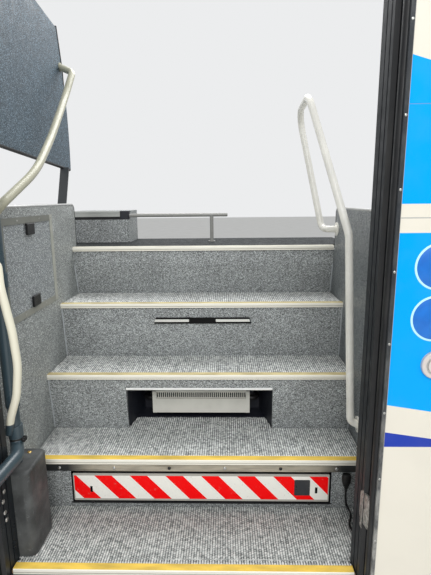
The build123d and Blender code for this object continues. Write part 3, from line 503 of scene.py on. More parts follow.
world = bpy.data.worlds.new("studio")
scene.world = world
world.use_nodes = True
sky = world.node_tree
rays = sky.nodes.new("ShaderNodeLightPath")
seen = rays.outputs["Is Camera Ray"]
for ray in ("Is Glossy Ray", "Is Transmission Ray"):
    either = sky.nodes.new("ShaderNodeMath")
    either.operation = "MAXIMUM"
    sky.links.new(seen, either.inputs[0])
    sky.links.new(rays.outputs[ray], either.inputs[1])
    seen = either.outputs[0]
level = sky.nodes.new("ShaderNodeMapRange")
level.inputs["To Min"].default_value = LIGHT_SHARE
sky.links.new(seen, level.inputs["Value"])
glow = sky.nodes["Background"]
sky.links.new(level.outputs["Result"], glow.inputs["Strength"])
glow.inputs["Color"].default_value = SKY

for name, position, target, size, watts in LAMPS:
    light = bpy.data.lights.new(name, "AREA")
    light.shape, light.size, light.energy = "DISK", size, watts
    lamp = shown(name, light)
    lamp.location = position
    lamp.rotation_euler = (Vector(target) - Vector(position)).to_track_quat("-Z", "Y").to_euler()

floor_mesh = bpy.data.meshes.new("floor")
corners = np.array([(-1, -1, 0), (1, -1, 0), (1, 1, 0), (-1, 1, 0)]) * FLOOR_REACH
floor_mesh.from_pydata(corners, [], [(0, 1, 2, 3)])
mottled("floor_finish", tone(222, 222, 219), tone(228, 228, 226), 0.4, 3.0, rough=0.8)
floor_mesh.materials.append(finishes["floor_finish"])
floor = shown("floor", floor_mesh)

# %% [markdown]
# Finishes on the CAD nodes
#
# A node keeps its shape and only gets a finish, mostly one of those above.

# %% Plain nodes
PLAIN = {
    "frame_paint": "base_frame stair_frame_left stair_frame_right rear_frame tread_bearers "
                   "door_frame_left door_frame_right header column_bracket screen_post",
    "riser_vinyl": "riser_1 riser_2 riser_3 riser_4 podium",
    "wall_vinyl": "side_wall_left", "shaded_wall_vinyl": "side_wall_right",
    "screen_vinyl": "screen_panel", "floor_vinyl": "landing_floor",
    "case_black": "lift_cassette", "bar_black": "trim_bar", "niche_paint": "niche_box rail_socket",
    "lit_rail_coat": "handrail_right", "shaded_rail_coat": "handrail_left", "landing_paint": "landing_rail",
    "column_paint": "door_column door_arm", "guard_plastic": "column_guard",
    "jamb_rubber": "jamb_left jamb_top", "button_plastic": "door_button",
    "cord_rubber": "cord_gland heater_hoses",
}
for finish, names in PLAIN.items():
    dress(names, finish)
print(sum(len(names.split()) for names in PLAIN.values()), "nodes dressed")

# %% [markdown]
# The other nodes have two tones or more, told apart by coordinates. The grab rail is
# cream with a blue-grey foot. The trim round the hatch is grey, with a painted
# highlight on its rear stile, and paler on its lower rail. The podium's edge is drawn
# metal above a black strip.

# %% Grab rail
FOOT_TOP = 0.586
grab = Finish("grab_rail_coat", "grab_rail", rough=0.30, coat=0.2, coat_rough=0.2)
grab.shade(colour=grab.mix(grab.under(grab.z, FOOT_TOP), tone(232, 228, 208), COLUMN_BLUE))
grab.grain(FINE_RIPPLE, 1.0, RIPPLE_DEPTH)

# %% Hatch trim
TRIM_WIDE = 0.025
low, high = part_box("hatch_frame")
trim = Finish("hatch_trim", "hatch_frame", rough=0.45, specular=0.35)
# The rear stile is painted paler as a painted highlight; the lower rail is paler too.
rail, highlit_stile = trim.under(trim.z, low.z + TRIM_WIDE), trim.over(trim.y, high.y - TRIM_WIDE)
grey = trim.mix(rail, tone(124, 126, 119), tone(146, 147, 139))
smudges = trim.clouds(0.04, 5.0, 0.0, 0.25, 0.40, 0.75)
trim.shade(colour=trim.mix(smudges, trim.mix(highlit_stile, grey, tone(176, 177, 168)), tone(96, 96, 90)))
trim.grain(0.002, 2.0, 0.0002)

# %% Podium edge
BLACK_PLASTIC = tone(22, 23, 25)
BLACK_STRIP = 0.0149
edging = Finish("podium_edge", "podium_edge", rough=0.36)
above = edging.over(edging.z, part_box("podium_edge")[0].z + BLACK_STRIP)
edging.shade(colour=edging.mix(above, BLACK_PLASTIC, tone(186, 188, 184)), metal=edging.times(above, 0.6))
edging.grain(0.0012, 2.0, 0.0001, stretch=ALONG_X)

# %% [markdown]
# Plywood is faced with film, and waves across Z give the plies on its cut edges.

# %% Plywood
PLY = 0.0014
GRAIN_X = (0.06, 1, 1)
ply = Finish("plywood", "tread_boards", rough=0.55)
band = ply.math("DIVIDE", ply.math("PINGPONG", ply.z, PLY), PLY)
plies = ply.ramp(band, (0.3, tone(120, 92, 62)), (0.7, tone(176, 144, 102)))
film = ply.clouds(0.004, 4.0, tone(78, 58, 44), tone(98, 76, 58), stretch=GRAIN_X)
normal = ply.add("SeparateXYZ")
ply.feed(normal.inputs[0], ply.add("NewGeometry").outputs["Normal"])
flat = ply.over(ply.math("ABSOLUTE", normal.outputs[Z]), 0.7)
ply.shade(colour=ply.mix(flat, plies, film))
ply.grain(0.002, 3.0, 0.0002, stretch=GRAIN_X)

# %% [markdown]
# The outer skin is painted in bands. Each border is a straight line in X and Z,
# and the colour changes where the height is under it. The grey edge strip beside
# the doorway is picked out by its distance from the middle.

# %% Skin paint
DOOR_MIDDLE, BORDER_START = -0.034, 0.584
STRIP_LINE, STRIP_EDGE = 0.5770, 0.5785
CREAM, SKY_BLUE, NAVY = tone(222, 217, 204), tone(0, 160, 242), tone(34, 60, 165)
# Borders from the top down: (height beside the doorway, slope, colour under it)
BANDS = [
    (1.612, -0.30, SKY_BLUE), (1.275, 0.0, CREAM), (1.204, 0.0, SKY_BLUE), (0.741, -0.16, CREAM),
    (0.661, -0.15, NAVY), (0.618, 0.0, CREAM),
]
skin = Finish("skin_paint", "skin_left skin_right skin_top", rough=0.2, specular=0.12)
out = skin.math("ABSOLUTE", skin.minus(skin.x, DOOR_MIDDLE))
colour = CREAM
for start, slope, band_colour in BANDS:
    border = skin.math("ADD", start, skin.times(slope, skin.minus(out, BORDER_START)))
    colour = skin.mix(skin.under(skin.z, border), colour, band_colour)
seam = skin.most(skin.inside(skin.z, 1.2395, 1.2425), skin.inside(skin.z, 1.505, 1.507))
colour = skin.mix(skin.times(seam, 0.55), colour, tone(120, 130, 138))
colour = skin.mix(skin.clouds(0.12, 6.0, 0.0, 0.08, 0.45, 0.9), colour, tone(150, 146, 136))
strip = skin.times(skin.under(out, STRIP_EDGE), skin.under(skin.z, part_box("skin_top")[0].z))
low_down = skin.ramp(skin.z, (0.30, 0.9), (0.95, 0.12))
patches = skin.clouds(0.03, 6.0, 0.25, 1.0, 0.42, 0.60, stretch=(1, 1, 0.3), sharp=0.7)
rubbed = skin.most(skin.times(low_down, patches), skin.inside(out, STRIP_LINE, STRIP_EDGE))
skin.shade(colour=skin.mix(strip, colour, skin.mix(rubbed, tone(44, 48, 53), tone(158, 157, 152))))
skin.relief(skin.noise(0.25, 1.0), 0.0006, 0.3)

# %% [markdown]
# The right jamb holds the lock striker, a scraped steel plate picked out by its
# coordinates. The hatch cover's two black latches stand in front of its vinyl.

# %% Jamb with striker, hatch cover with latches
jamb = Finish("jamb_with_striker", "jamb_right", specular=0.35)
plate = jamb.within(x=(0.5155, 0.5330), y=(-0.0265, -0.0095), z=(0.3045, 0.4255))
scraped = jamb.clouds(0.008, 6.0, tone(70, 66, 62), tone(206, 202, 194), 0.40, 0.56, sharp=0.75)
dusty = jamb.clouds(0.05, 6.0, tone(28, 32, 36), tone(56, 58, 61), 0.45, 0.9, **STREAKS)
jamb.shade(colour=jamb.mix(plate, dusty, scraped), metal=jamb.times(plate, 0.5),
           rough=jamb.clouds(0.04, 4.0, 0.36, 0.56))
jamb.grain(0.002, 2.0, 0.0002)

LATCH_FACE = -0.6236
cover = Finish("hatch_with_latches", "hatch_cover", specular=0.4)
latch = cover.over(cover.x, LATCH_FACE)
cover.shade(colour=cover.mix(latch, speckled(cover, tone(146, 151, 153)), tone(22, 23, 24)),
            rough=cover.clouds(0.03, 3.0, 0.34, 0.50))
cover.grain(0.0016, 2.0, 0.0003)

# %% [markdown]
# The lift platform's front carries red and white warning stripes that lean down to
# the right. A stripe is a saw-tooth of X plus a share of Z: where the tooth is
# under the red share of the pitch, the paint is red. The stripes lie on the front
# face alone; the rest is plain aluminium.

# %% Lift platform
STRIPE_PITCH, RED_SHARE, STRIPE_START, STRIPE_LEAN = 0.1361, 0.49, -0.4033, 0.93
(PLATE_LEFT, PLATE_FRONT, PLATE_BOTTOM), (PLATE_RIGHT, _, PLATE_TOP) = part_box("lift_platform")
SLOTS, SLOT_HALF, SLOT_Z = (PLATE_LEFT + 0.068, PLATE_RIGHT - 0.048), 0.0046, (0.1925, 0.2175)

lift = Finish("lift_stripes", "lift_platform", rough=0.34, specular=0.2)
fall = lift.times(STRIPE_LEAN, lift.minus(lift.z, PLATE_TOP))
slope = lift.minus(lift.math("ADD", lift.x, fall), STRIPE_START)
phase = lift.math("FLOORED_MODULO", lift.math("DIVIDE", slope, STRIPE_PITCH), 1.0)
stripes = lift.mix(lift.under(phase, RED_SHARE), tone(240, 239, 231), tone(252, 0, 4))
chipped = lift.times(lift.clouds(0.010, 6.0, 0.0, 0.8, 0.60, 0.66, sharp=0.7), 0.35)
worn = lift.most(lift.times(lift.edges(0.004), 0.9), chipped)
stripes = lift.mix(worn, stripes, tone(150, 146, 138))
painted = lift.within(x=(PLATE_LEFT + 0.004, PLATE_RIGHT - 0.004),
                      z=(PLATE_BOTTOM + 0.008, PLATE_TOP - 0.010))
front = lift.under(lift.y, PLATE_FRONT + 0.0007)
face = lift.mix(front, tone(150, 152, 152), lift.mix(painted, tone(170, 168, 160), stripes))
# Painted shade: the slots in the plate, 4 mm deep, are near black.
slots = lift.most(*(lift.within(x=(middle - SLOT_HALF, middle + SLOT_HALF), z=SLOT_Z) for middle in SLOTS))
slots = lift.times(slots, lift.under(lift.y, PLATE_FRONT + 0.0040))
lift.shade(colour=lift.mix(slots, face, tone(20, 20, 21)), metal=lift.minus(0.9, lift.times(front, 0.9)))
lift.grain(0.02, 4.0, 0.0003)

# %% [markdown]
# The rim round the lift's front is black, but the riser's vinyl is drawn over its
# two uprights, up to the gap beside the front.

# %% Lift rim
RIM_GAP = 0.0076
rim = Finish("lift_rim", "lift_surround", specular=0.35, rough=0.45)
beyond = rim.most(rim.under(rim.x, PLATE_LEFT - RIM_GAP), rim.over(rim.x, PLATE_RIGHT + RIM_GAP))
uprights = rim.times(beyond, rim.inside(rim.z, PLATE_BOTTOM - RIM_GAP, PLATE_TOP + RIM_GAP))
rim.shade(colour=rim.mix(uprights, BLACK_PLASTIC, speckled(rim, tone(140, 144, 145))))
rim.grain(0.002, 2.0, 0.0002)

# %% [markdown]
# The step strip is drawn aluminium, worn by shoes, with dark grey ends.

# %% Step strip
STRIP_ENDS = ((-0.395, -0.490), (0.456, 0.540))
step = Finish("step_strip_metal", "step_strip", metal=0.5, rough=0.38)
_, worn_grey = drawn(step, tone(178, 171, 156), tone(214, 206, 188))
worn_grey = grimy(step, worn_grey, tone(70, 64, 54), 0.75)
ends = step.most(*(step.math("DIVIDE", step.minus(step.x, start), end - start) for start, end in STRIP_ENDS))
step.shade(colour=step.mix(step.ramp(ends, (0.0, 0.0), (1.0, 1.0)), worn_grey, tone(66, 68, 68)))

# %% [markdown]
# Behind the face of the heater's pale grille, the slots and fins are painted near black as shade.

# %% Heater
GRILLE_SIDE, GRILLE_FRONT, GRILLE_HIGH = 0.197, 0.5914, 0.4602
heater = Finish("heater_housing", "heater", rough=0.40, specular=0.4)
# Painted shade: everything behind the grille face is near black.
shaded_mouth = heater.within(x=(-GRILLE_SIDE, GRILLE_SIDE), y=(GRILLE_FRONT, 1.0), z=(0.0, GRILLE_HIGH))
housing = heater.clouds(0.09, 4.0, tone(198, 197, 189), tone(212, 211, 202), 0.3, 0.65)
heater.shade(colour=heater.mix(shaded_mouth, housing, tone(30, 31, 33)))
heater.grain(COAT_RIPPLE, 1.0, RIPPLE_DEPTH)

# %% [markdown]
# The finish paints shade in narrow bands at every tread: in the groove along the
# face of each nosing and in the corner under it.

# %% Nosings
NOSING_Z = (0.120, 0.340, 0.590, 0.840, 1.070)
# How far under the top each band starts and ends, and how dark it is
SHADE_BANDS = ((0.0110, 0.0150, 0.55), (0.0192, 0.0205, 0.9), (0.0062, 0.0070, 0.3))
nosing = Finish("nosing_metal", "nosings", rough=0.42)
# The bands gathered here are painted shade in the groove and under the lip.
dirt_and_shade = 0.0
for height in NOSING_Z:
    for low, high, share in SHADE_BANDS:
        band = nosing.within(z=(height - high, height - low))
        dirt_and_shade = nosing.most(dirt_and_shade, nosing.times(band, share))
_, cream = drawn(nosing, tone(232, 229, 213), tone(254, 252, 242))
nosing.shade(colour=nosing.mix(dirt_and_shade, cream, tone(112, 104, 88)))

# %% [markdown]
# Looped mats
#
# The treads carry a coarse mat woven in ribs that run from front to back, each
# rib a row of loops that throw real shadows. So the mat is a height field: across
# the tread the height goes down between ribs, along a rib it rises and falls once
# per loop, neighbours are half a loop apart, and every loop has a height of its
# own. The height is also kept as an attribute called pile, which the finish reads
# to paint shade on the ground between the loops. The front edge is cut through the
# ribs, so there they stand like teeth behind the nosing.

# %% Mats
RIB, LOOP, PILE, TEETH = 0.0088, 0.0100, 0.0045, 0.0065
HALF, NICHE_WIDE, UNDERSIDE, LOWEST = 0.625, 0.6, 0.0078, 0.2
NOSE_Y = (0.0, 0.270, 0.475, 0.680, 0.885)
draw = np.random.default_rng(11)

fibre = Finish("mat_fibre", rough=0.92, sheen=0.12)
pile = fibre.add("Attribute", attribute_name="pile").outputs["Fac"]
yarn = fibre.ramp(fibre.flecks(0.0075), (0.0, tone(112, 118, 121)), (0.35, tone(220, 224, 222)),
                  (1.0, tone(255, 255, 252)))
# The lowest mat is made darker as painted shade, over the clouds of real soil.
lowest_shade = fibre.under(fibre.z, LOWEST)
soil_and_shade = fibre.clouds(0.14, 5.0, tone(240, 242, 238), tone(206, 206, 199), 0.40, 0.75)
soil_and_shade = fibre.mix(lowest_shade, soil_and_shade, tone(184, 186, 181))
worked = fibre.mix(fibre.math("ADD", 0.35, fibre.times(lowest_shade, 0.2)), yarn, soil_and_shade)
# Painted shade: where the pile is low, between the loops, the colour falls to near black.
depth = fibre.ramp(pile, (0.10, tone(10, 12, 15)), (0.28, tone(160, 163, 164)), (0.56, tone(255, 255, 255)))
fibre.shade(colour=fibre.mix(1.0, worked, depth, "MULTIPLY"))
fibre.grain(0.0012, 2.0, 0.0005)


def loop_mat(name, left, right, front, back, top, node=None, teeth=TEETH):
    """A grid of loops between two edges, each given by some Y and the X there.

    The height over the deck is the cosine of the way across a rib, squared, times a
    share that follows the loops along the rib. In the teeth it follows the rib alone.
    """
    columns = int((HALF * 2 if node else NICHE_WIDE) / RIB * 3)
    rows = int((back - front) / LOOP * 3.2)
    v = np.linspace(front, back, rows)[:, None]
    u = np.linspace(0, 1, columns)[None, :]
    x = np.interp(v, *left) * (1 - u) + np.interp(v, *right) * u
    y = np.broadcast_to(v, x.shape)
    ribs = np.floor(x / RIB).astype(int)
    across = np.cos(np.pi * (x / RIB - ribs - 0.5)) ** 2
    shift = (y / LOOP) + 0.5 * (ribs % 2)
    loops = np.floor(shift).astype(int)
    along = np.abs(np.sin(np.pi * (shift - loops))) ** 0.6
    own = draw.uniform(0.55, 1.0, (512, 128))[ribs % 512, loops % 128]
    height = across ** 0.6 * (0.35 + 0.65 * along) * own
    height = np.where(y - front < teeth, np.clip(across * 1.5, 0, 1), height)
    z = top - PILE + height * PILE * 1.1
    skirt = np.ones(x.shape, bool)
    skirt[1:-1, 1:-1] = False
    height = np.where(skirt, height * 0.4, height)
    z = np.where(skirt, top - UNDERSIDE, z)
    points = np.stack((x, y, z), -1).reshape(-1, 3)
    index = np.arange(rows * columns).reshape(rows, columns)
    border = np.concatenate((index[0], index[1:, -1], index[-1, -2::-1], index[-2:0:-1, 0]))
    middle = len(points)
    points = np.vstack((points, (points[border].mean(0)[0], (front + back) / 2, top - UNDERSIDE)))
    faces = [*grid_faces(rows, columns, False)]
    faces += [(a, b, middle) for a, b in zip(np.roll(border, -1), border)]
    mat = finish_piece(name, points, faces, "mat_fibre", smooth=0)
    kept = mat.data.attributes.new("pile", "FLOAT", "POINT")
    kept.data.foreach_set("value", np.append(height.reshape(-1), 0.0).astype(np.float32))
    if node:
        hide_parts(node)
    print(name, rows, "by", columns, "points")


WALLS = [((0.0,), (side * (HALF - 0.001),)) for side in (-1, 1)]
# The first tread is narrower between the jambs
DOORWAY = [((-0.020, 0.050, 0.050001), xs) for xs in ((-0.592, -0.584, -0.624), (0.524, 0.516, 0.624))]
# The niche's sides come together towards its back
NICHE = [((0.522, 1.522), xs) for xs in ((-0.3055, -0.0645), (0.3025, 0.0615))]
for number, top in enumerate(NOSING_Z[:4], 1):
    low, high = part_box(f"mat_{number}")
    deep = high.y
    if number == 2:
        deep = NOSE_Y[2] + 0.034
        loop_mat("mat_2_niche", *NICHE, deep - LOOP / 2, high.y, top, teeth=0.0)
    loop_mat(f"mat_{number}_loops", *(DOORWAY if number == 1 else WALLS), low.y, deep, top, f"mat_{number}")

# %% [markdown]
# Grip inserts in the nosings
#
# Each nosing holds a ribbed strip: the two lowest are clear yellow, the next two
# faded and dirty, and the one on the landing is pale. A strip is one profile
# carried along X: a row of rounded ribs, each the absolute value of a sine, over a
# flat underside that sits in the metal.

# %% Nosing inserts
INSERT_Y, INSERT_RIBS, INSERT_RISE = (0.0018, 0.0279), 6, 0.0012
DOOR_X, INSIDE_X = (-0.585, 0.517), (-HALF + 0.0005, HALF - 0.0005)


def grip(name, clean, dirt_and_shade, dirty):
    """Plastic that shoes have soiled in patches, up to a share."""
    finish = Finish(name, specular=0.3)
    soiled = finish.clouds(0.03, 5.0, 0.0, dirty, 0.35, 0.70, stretch=(0.3, 1, 1))
    finish.shade(colour=finish.mix(soiled, clean, dirt_and_shade), rough=finish.clouds(0.01, 3.0, 0.55, 0.8))
    finish.grain(0.0007, 1.0, 0.0003)


share = np.linspace(0, 1, INSERT_RIBS * 6 + 1)
ridge = 0.0003 + INSERT_RISE * np.abs(np.sin(np.pi * INSERT_RIBS * share)) ** 0.7
ridge = np.column_stack((np.interp(share, (0, 1), INSERT_Y), ridge))
strip = np.vstack((ridge, [(y, -0.001) for y in INSERT_Y[::-1]]))
grip("yellow_grip", tone(238, 204, 92), tone(120, 100, 60), 0.45)
grip("worn_grip", tone(212, 198, 150), tone(132, 116, 80), 0.6)
grip("pale_grip", tone(226, 223, 208), tone(150, 146, 132), 0.6)
for number, grade in enumerate(("yellow", "yellow", "worn", "worn", "pale")):
    insert = carried(strip + (NOSE_Y[number], NOSING_Z[number]), X, INSIDE_X if number else DOOR_X)
    tubes(f"nosing_insert_{number + 1}", [insert], grade + "_grip")
print("5 inserts of", INSERT_RIBS, "ribs")

# %% [markdown]
# Beads and screws
#
# Where a riser meets a wall the gap is closed by a thin bead of pale sealant.
# Screws are turned on a lathe: a flat rim, a low dome and a round socket, all from
# one profile of radius and height.

# %% Beads and screws
# Each joint's head and foot as (y, z)
RISER_JOINTS = [
    ((0.277, 0.320), (0.305, 0.120)), ((0.482, 0.570), (0.509, 0.340)),
    ((0.687, 0.820), (0.709, 0.590)), ((0.892, 0.984), (0.924, 0.840)),
]
BEAD, BEAD_X = 0.0030, HALF - 0.0012
rubber("sealant", tone(178, 183, 186), 0.5, 0.2)
beads = [round_bar([(x, y, z) for y, z in joint], BEAD, 8)
         for joint in RISER_JOINTS for x in (-BEAD_X, BEAD_X)]
tubes("riser_beads", beads, "sealant")

SCREW_HEAD = [(1.0, -0.2), (1.0, 0.06), (0.82, 0.24), (0.42, 0.30), (0.34, 0.30), (0.30, 0.05)]


def screws(name, places, axis, radius, finish="screw_metal"):
    """Round heads with a socket, each standing 0.3 of its radius off the surface."""
    head = [(radius * r, radius * h) for r, h in SCREW_HEAD]
    tubes(name, [turned(head, place, axis, 16) for place in places], finish, smooth=50)
    print(name, len(places))


HATCH_FACE, STRIP_MIDDLE, STRIP_FACE = -0.6220, 0.5725, -0.093
EDGE_SCREW_Z = (1.880, 1.687, 1.481, 1.309, 1.106, 0.915, 0.720, 0.520, 0.320, 0.120)
places = [(HATCH_FACE, y, z) for y in (0.229, 0.345, 0.529, 0.645) for z in (0.882, 1.223)]
places += [(HATCH_FACE, y, z) for y in (0.229, 0.645) for z in (0.995, 1.108)]
screws("hatch_screws", places, (1, 0, 0), 0.0035)
places = [(DOOR_MIDDLE + x, STRIP_FACE, z) for x in (-STRIP_MIDDLE, STRIP_MIDDLE) for z in EDGE_SCREW_Z]
screws("edge_screws", places, (0, -1, 0), 0.0036)

# %% [markdown]
# The step strip has six stud heads. The third and the fifth have gone dark.

# %% Stud caps
STUD_Y, STUD_Z, STUD_RADIUS = 0.2744, 0.302, 0.0062
studs = [(x, STUD_Y, STUD_Z) for x in (np.arange(6) - 2.5) * 2 * HALF / 6]
for name, places, finish in (("stud_caps_dark", studs[2::2], "case_black"),
                             ("stud_caps_bright", studs[:2] + studs[3::2], "bright_metal")):
    screws(name, places, (0, -1, 0), STUD_RADIUS, finish)

# %% [markdown]
# Each rail flange is held by three screws, spaced evenly round it. The guard has
# one brass screw in its top.

# %% Flange and guard screws
# Side, y and z of each flange
FLANGES = [(1, 0.385, 0.424), (1, 0.845, 1.150), (-1, 0.178, 1.240)]
FLANGE_FACE, SCREW_CIRCLE = HALF - 0.005, 0.0235
turns = np.radians((30, 150, 270))
for number, (side, y, z) in enumerate(FLANGES):
    places = [(side * FLANGE_FACE, y + SCREW_CIRCLE * np.cos(t), z + SCREW_CIRCLE * np.sin(t))
              for t in turns]
    screws(f"flange_screws_{number + 1}", places, (-side, 0, 0), 0.0034)
drawn_metal("brass", tone(222, 190, 120), 0.28, 0.3, along=EVEN)
screws("guard_screw", [(-0.579, 0.176, 0.4298)], (0, 0, 1), 0.0080, "brass")

# %% [markdown]
# Bands and trims
#
# A black band and a clamp sit where the column meets the arm, and turn with them.
# A bright trim covers the top edge of both side walls and dips at the corner; from
# there a dark seal runs down the rear edge. The niche has a pale rolled lip, the
# bar on the third riser two bright inserts, and the screen dark edges, the lower
# one a dark strip put along the panel's edge as painted shade.

# %% Column band and clamp
COLUMN_X, COLUMN_Y, BAND_Z = -0.589, 0.120, 0.5080
BOLT_X, BOLT_Z = COLUMN_X + 0.0265, 0.515
profile = [(0.0205, -0.0003), (0.0213, 0.0), (0.0216, 0.0010), (0.0216, 0.0130), (0.0213, 0.0144),
           (0.0205, 0.0147)]
band = turned(profile, (COLUMN_X, COLUMN_Y, BAND_Z), (0, 0, 1), 40)
tubes("column_band", [band], "seal_rubber", "door_drive")
ear = rounded(COLUMN_X + 0.018, BOLT_X + 0.006, BOLT_Z - 0.008, BOLT_Z + 0.007, 0.003)
bolt = [(0.0030, -0.0125), (0.0045, -0.0120), (0.0045, -0.0080), (0.0030, -0.0080), (0.0030, 0.0085),
        (0.0050, 0.0085), (0.0050, 0.0115), (0.0036, 0.0130)]
clamp = [carried(ear, Y, (0.112, 0.117)), carried(ear, Y, (0.123, 0.128)),
         turned(bolt, (BOLT_X, COLUMN_Y, BOLT_Z), (0, -1, 0), 16)]
tubes("column_clamp", clamp, "seal_rubber", "door_drive")

# %% Wall trims and seals
WALL_CORNER = 0.026
trims, seals = [], []
bend = np.linspace(0, np.pi / 2, 9)
for side, wall, rear in ((-1, "side_wall_left", 0.948), (1, "side_wall_right", 0.876)):
    x, high = side * (HALF + 0.005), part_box(wall)[1].z
    turn_y, turn_z = rear - WALL_CORNER * (1 - np.sin(bend)), high - WALL_CORNER * (1 - np.cos(bend))
    curve = [(x, y, z) for y, z in zip(turn_y, turn_z)]
    trims.append(round_bar([(x, 0.062, high), (x, 0.40, high), *curve[:6]], 0.0062, 10))
    seals.append(round_bar([*curve[5:], (x, rear, 1.15), (x, rear, 1.071)], 0.0061, 10))
tubes("wall_trims", trims, "bright_metal")
tubes("wall_seals", seals, "seal_rubber")

# %% Niche lip, bar inserts, screen seal and shade strip, button ring and catches
NICHE_X, NICHE_TOP, NICHE_FACE, LIP = (-0.304, 0.3005), 0.5235, 0.4885, 0.0050
turn = np.linspace(0.45 * np.pi, 1.6 * np.pi, 14)
roll = np.column_stack((NICHE_FACE + LIP * np.cos(turn), NICHE_TOP + LIP * np.sin(turn)))
rubber("pale_lip", tone(236, 237, 234), 0.4, 0.1)
tubes("niche_lip", [carried(roll, X, NICHE_X)], "pale_lip", smooth=50)

BAR_Y, INSERT_Z, SLANT, BAR_LEAN = (0.6850, 0.6882), (0.7545, 0.7665), 0.004, 0.096
drawn_metal("silver_insert", tone(226, 226, 222), 0.24, 0.1, metal=0.85)
inserts = []
for inner, outer in ((-0.054, -0.209), (0.066, 0.219)):
    lean = SLANT * np.sign(inner - outer)
    outline = [(inner, INSERT_Z[0]), (outer, INSERT_Z[0]), (outer + lean, INSERT_Z[1]), (inner, INSERT_Z[1])]
    insert = carried(outline, Y, BAR_Y)
    insert[..., Y] -= BAR_LEAN * (insert[..., Z] - 0.7565)
    inserts.append(insert)
tubes("bar_inserts", inserts, "silver_insert")

# The lower strip along the screen's edge is dark as painted shade.
SCREEN_SHADE_EDGE = [(-0.666, 0.020, 1.5004), (-0.666, 0.50, 1.4726), (-0.666, 1.040, 1.4412)]
SCREEN_REAR = [(-0.666, 0.985, 2.075), (-0.666, 1.026, 1.896), (-0.666, 1.0285, 1.830)]
edges = [round_bar(SCREEN_SHADE_EDGE, 0.0072, 10), round_bar(SCREEN_REAR, 0.0085, 10)]
tubes("screen_seal_and_shade", edges, "seal_rubber")

BUTTON = (0.663, -0.090, 0.858)
ring = [(0.0236, 0.0095), (0.0262, 0.0095), (0.0268, 0.0106), (0.0258, 0.0118), (0.0240, 0.0118),
        (0.0236, 0.0108)]
tubes("button_ring", [turned(ring, BUTTON, (0, -1, 0), 48)], "bright_metal")

catches = [rounded(x - 0.0045, x + 0.0045, 0.1440, 0.1565, 0.002) for x in (-0.405, 0.424)]
tubes("lift_catches", [carried(outline, Y, (0.2825, 0.2880)) for outline in catches], "seal_rubber")

# %% [markdown]
# Door seals
#
# A rubber bulb runs up each jamb, where the closed leaf presses on it, and a thin
# lip lies behind it. Both are plan outlines carried up the doorway. The left ones
# are the mirror images of the right ones about the doorway's middle.

# %% Door seals
JAMB_Z = [corner.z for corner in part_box("jamb_right")] + np.array((0.0005, -0.0005))
bend = np.linspace(0.5 * np.pi, 1.5 * np.pi, 13)
bulb = np.column_stack((0.5330 + 0.0095 * np.cos(bend), -0.0700 + 0.0125 * np.sin(bend)))
bulb = np.vstack((bulb, [(0.5400, -0.0825), (0.5400, -0.0575)]))
lip = np.array([(0.5290, -0.0375), (0.5185, -0.0325), (0.5178, -0.0345), (0.5290, -0.0420)])
seals = []
for outline in (bulb, lip):
    mirror = outline * (-1, 1) + (2 * DOOR_MIDDLE, 0)
    seals += [carried(outline, Z, JAMB_Z), carried(mirror[::-1], Z, JAMB_Z)]
tubes("door_seals", seals, "seal_rubber", smooth=40)

# %% [markdown]
# Lock plates
#
# There is a worn steel plate on the right jamb and a row of rusty screws on the
# left one. The jamb's face leans, so the plate is an outline in Y and Z whose X is
# that of the face, and three copies of it make its body and its rounded edge.

# %% Lock plates
# How far each copy is lifted, and its share of the outline
PLATE_LIFTS = ((0.0, 1.0), (0.0066, 1.0), (0.0076, 0.95))


def jamb_face(y):
    """X of the right jamb's face: it opens by 16 mm from back to front."""
    return 0.517 + 0.016 * (0.050 - y) / 0.136


steel = Finish("worn_steel", metal=0.55, specular=0.4)
scratches = steel.ramp(steel.noise(0.009, 6.0, stretch=(1, 1, 0.5), sharp=0.75), (0.34, tone(40, 38, 36)),
                       (0.46, tone(150, 148, 142)), (0.60, tone(214, 212, 206)))
rust = steel.clouds(0.014, 4.0, 0.0, 0.6, 0.66, 0.74)
steel.shade(colour=steel.mix(rust, scratches, tone(134, 66, 46)), rough=steel.clouds(0.01, 4.0, 0.28, 0.5))
steel.grain(0.006, 5.0, 0.0012, sharp=0.7)

outline = rounded(-0.0725, -0.0085, 0.330, 0.434, 0.020)
layers = []
for rise, share in PLATE_LIFTS:
    copy = outline.mean(0) * (1 - share) + outline * share
    layers.append(np.column_stack((jamb_face(copy[:, 0]) - rise, copy)))
tubes("strike_plate", [np.stack(layers)], "worn_steel", smooth=50)
keeper = [(2 * DOOR_MIDDLE - jamb_face(y), y, z) for y, z in (
    (0.012, 0.395), (0.003, 0.366), (0.006, 0.325), (0.0095, 0.297))]
screws("keeper_screws", keeper, (1, 0, 0), 0.0075, "worn_steel")

# %% [markdown]
# Signs
#
# Two round signs are stuck to the skin, and a dark label to the lift's front. All
# are blank. A sign is a low stack of turned discs, the white one wider than the
# blue one, so that the ring needs no mask.

# %% Blank signs
SIGN_X, SIGN_Y, SIGN_Z, SIGN_RADIUS = 0.650, -0.090, (1.119, 0.983), 0.061
mottled("sticker_white", tone(180, 228, 244), tone(190, 236, 250), 0.02, 4.0, rough=0.3)
mottled("sticker_blue", tone(8, 100, 190), tone(14, 112, 204), 0.03, 4.0, rough=0.28)
SIGNS = (("sign_rings", 1.0, 0.0008, "sticker_white"), ("sign_faces", 0.91, 0.0012, "sticker_blue"))
for name, share, rise, material in SIGNS:
    radius = SIGN_RADIUS * share
    profile = [(radius, -0.0005), (radius, rise - 0.0002), (radius - 0.0004, rise), (radius * 0.05, rise)]
    discs = [turned(profile, (SIGN_X, SIGN_Y, z), (0, -1, 0), 64) for z in SIGN_Z]
    tubes(name, discs, material)

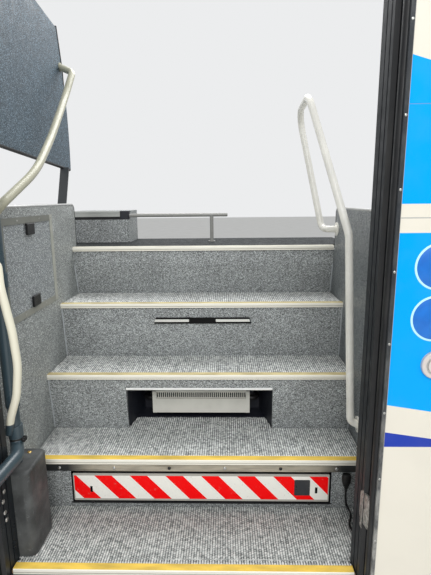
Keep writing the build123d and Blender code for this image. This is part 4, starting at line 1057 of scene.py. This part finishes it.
LABEL_X, LABEL_Z, LABEL_CORNER = (0.367, 0.426), (0.183, 0.249), 0.004
LABEL_Y = (PLATE_FRONT - 0.0006, PLATE_FRONT + 0.001)
rubber("label_dark", tone(52, 54, 58), 0.35, 0.2)
label = rounded(*LABEL_X, *LABEL_Z, LABEL_CORNER)
tubes("lift_label", [carried(label, Y, LABEL_Y)], "label_dark", "lift_drawer")

# %% [markdown]
# Hand-control plug and cord
#
# The plug has finger ribs and a tapering sleeve: full ovals of changing width and
# depth, stacked along Z. The cord is a NURBS curve from the gland in the wall, over
# the mat and up to the sleeve.

# %% Plug and cord
CORD_ROUTE = [
    (0.607, 0.150, 0.140), (0.577, 0.150, 0.140), (0.562, 0.164, 0.1250), (0.554, 0.203, 0.1246),
    (0.571, 0.238, 0.1246), (0.576, 0.259, 0.1335), (0.557, 0.26958, 0.1605), (0.557, 0.26958, 0.204),
]
CORD_LENGTH, CORD_THICK = 0.223, 0.008
plug_low, plug_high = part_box("plug")
plug_x, plug_y, _ = CORD_ROUTE[-1]
plug_wide, plug_deep = (plug_high.x - plug_low.x) / 2, min(plug_y - plug_low.y, plug_high.y - plug_y)
z = np.linspace(plug_low.z, plug_high.z, 90)[:, None]
share = (z - plug_low.z) / (plug_high.z - plug_low.z)
# Sleeve below, shoulder, oval body, rounded top: half width as a share of the full one
PLUG_OUTLINE = ((0.0, 0.22, 0.40, 0.60, 0.85, 0.97, 1.0), (0.22, 0.30, 0.62, 0.94, 1.0, 0.86, 0.55))
outline = np.interp(share, *PLUG_OUTLINE)
rib = 0.05 * np.abs(np.sin(np.pi * share * 11)) * (share < 0.86)
wide = plug_wide * (outline - rib * 1.2)
deep = np.minimum(plug_deep * (outline * 0.98 - rib), plug_deep)
around = np.linspace(0, 2 * np.pi, 28, endpoint=False)
across, ahead = (np.sign(way) * np.abs(way) ** 0.8 for way in (np.cos(around), np.sin(around)))
sections = np.stack(np.broadcast_arrays(plug_x + wide * across, plug_y + deep * ahead, z), -1)
plug = tubes("plug_body", [sections], "cord_rubber", smooth=40)
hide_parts("plug")

curve = bpy.data.curves.new("hand_cord", "CURVE")
curve.dimensions = "3D"
line = curve.splines.new("NURBS")
line.points.add(len(CORD_ROUTE) - 1)
line.points.foreach_set("co", np.column_stack((CORD_ROUTE, np.ones(len(CORD_ROUTE)))).ravel())
line.order_u = 3
line.use_endpoint_u = True
line.resolution_u = 12
curve.bevel_depth = CORD_THICK / 2
curve.bevel_resolution = 4
curve.use_fill_caps = True
curve.materials.append(finishes["cord_rubber"])
hand_cord = shown("hand_cord", curve)
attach(hand_cord, "root")
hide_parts("cord")
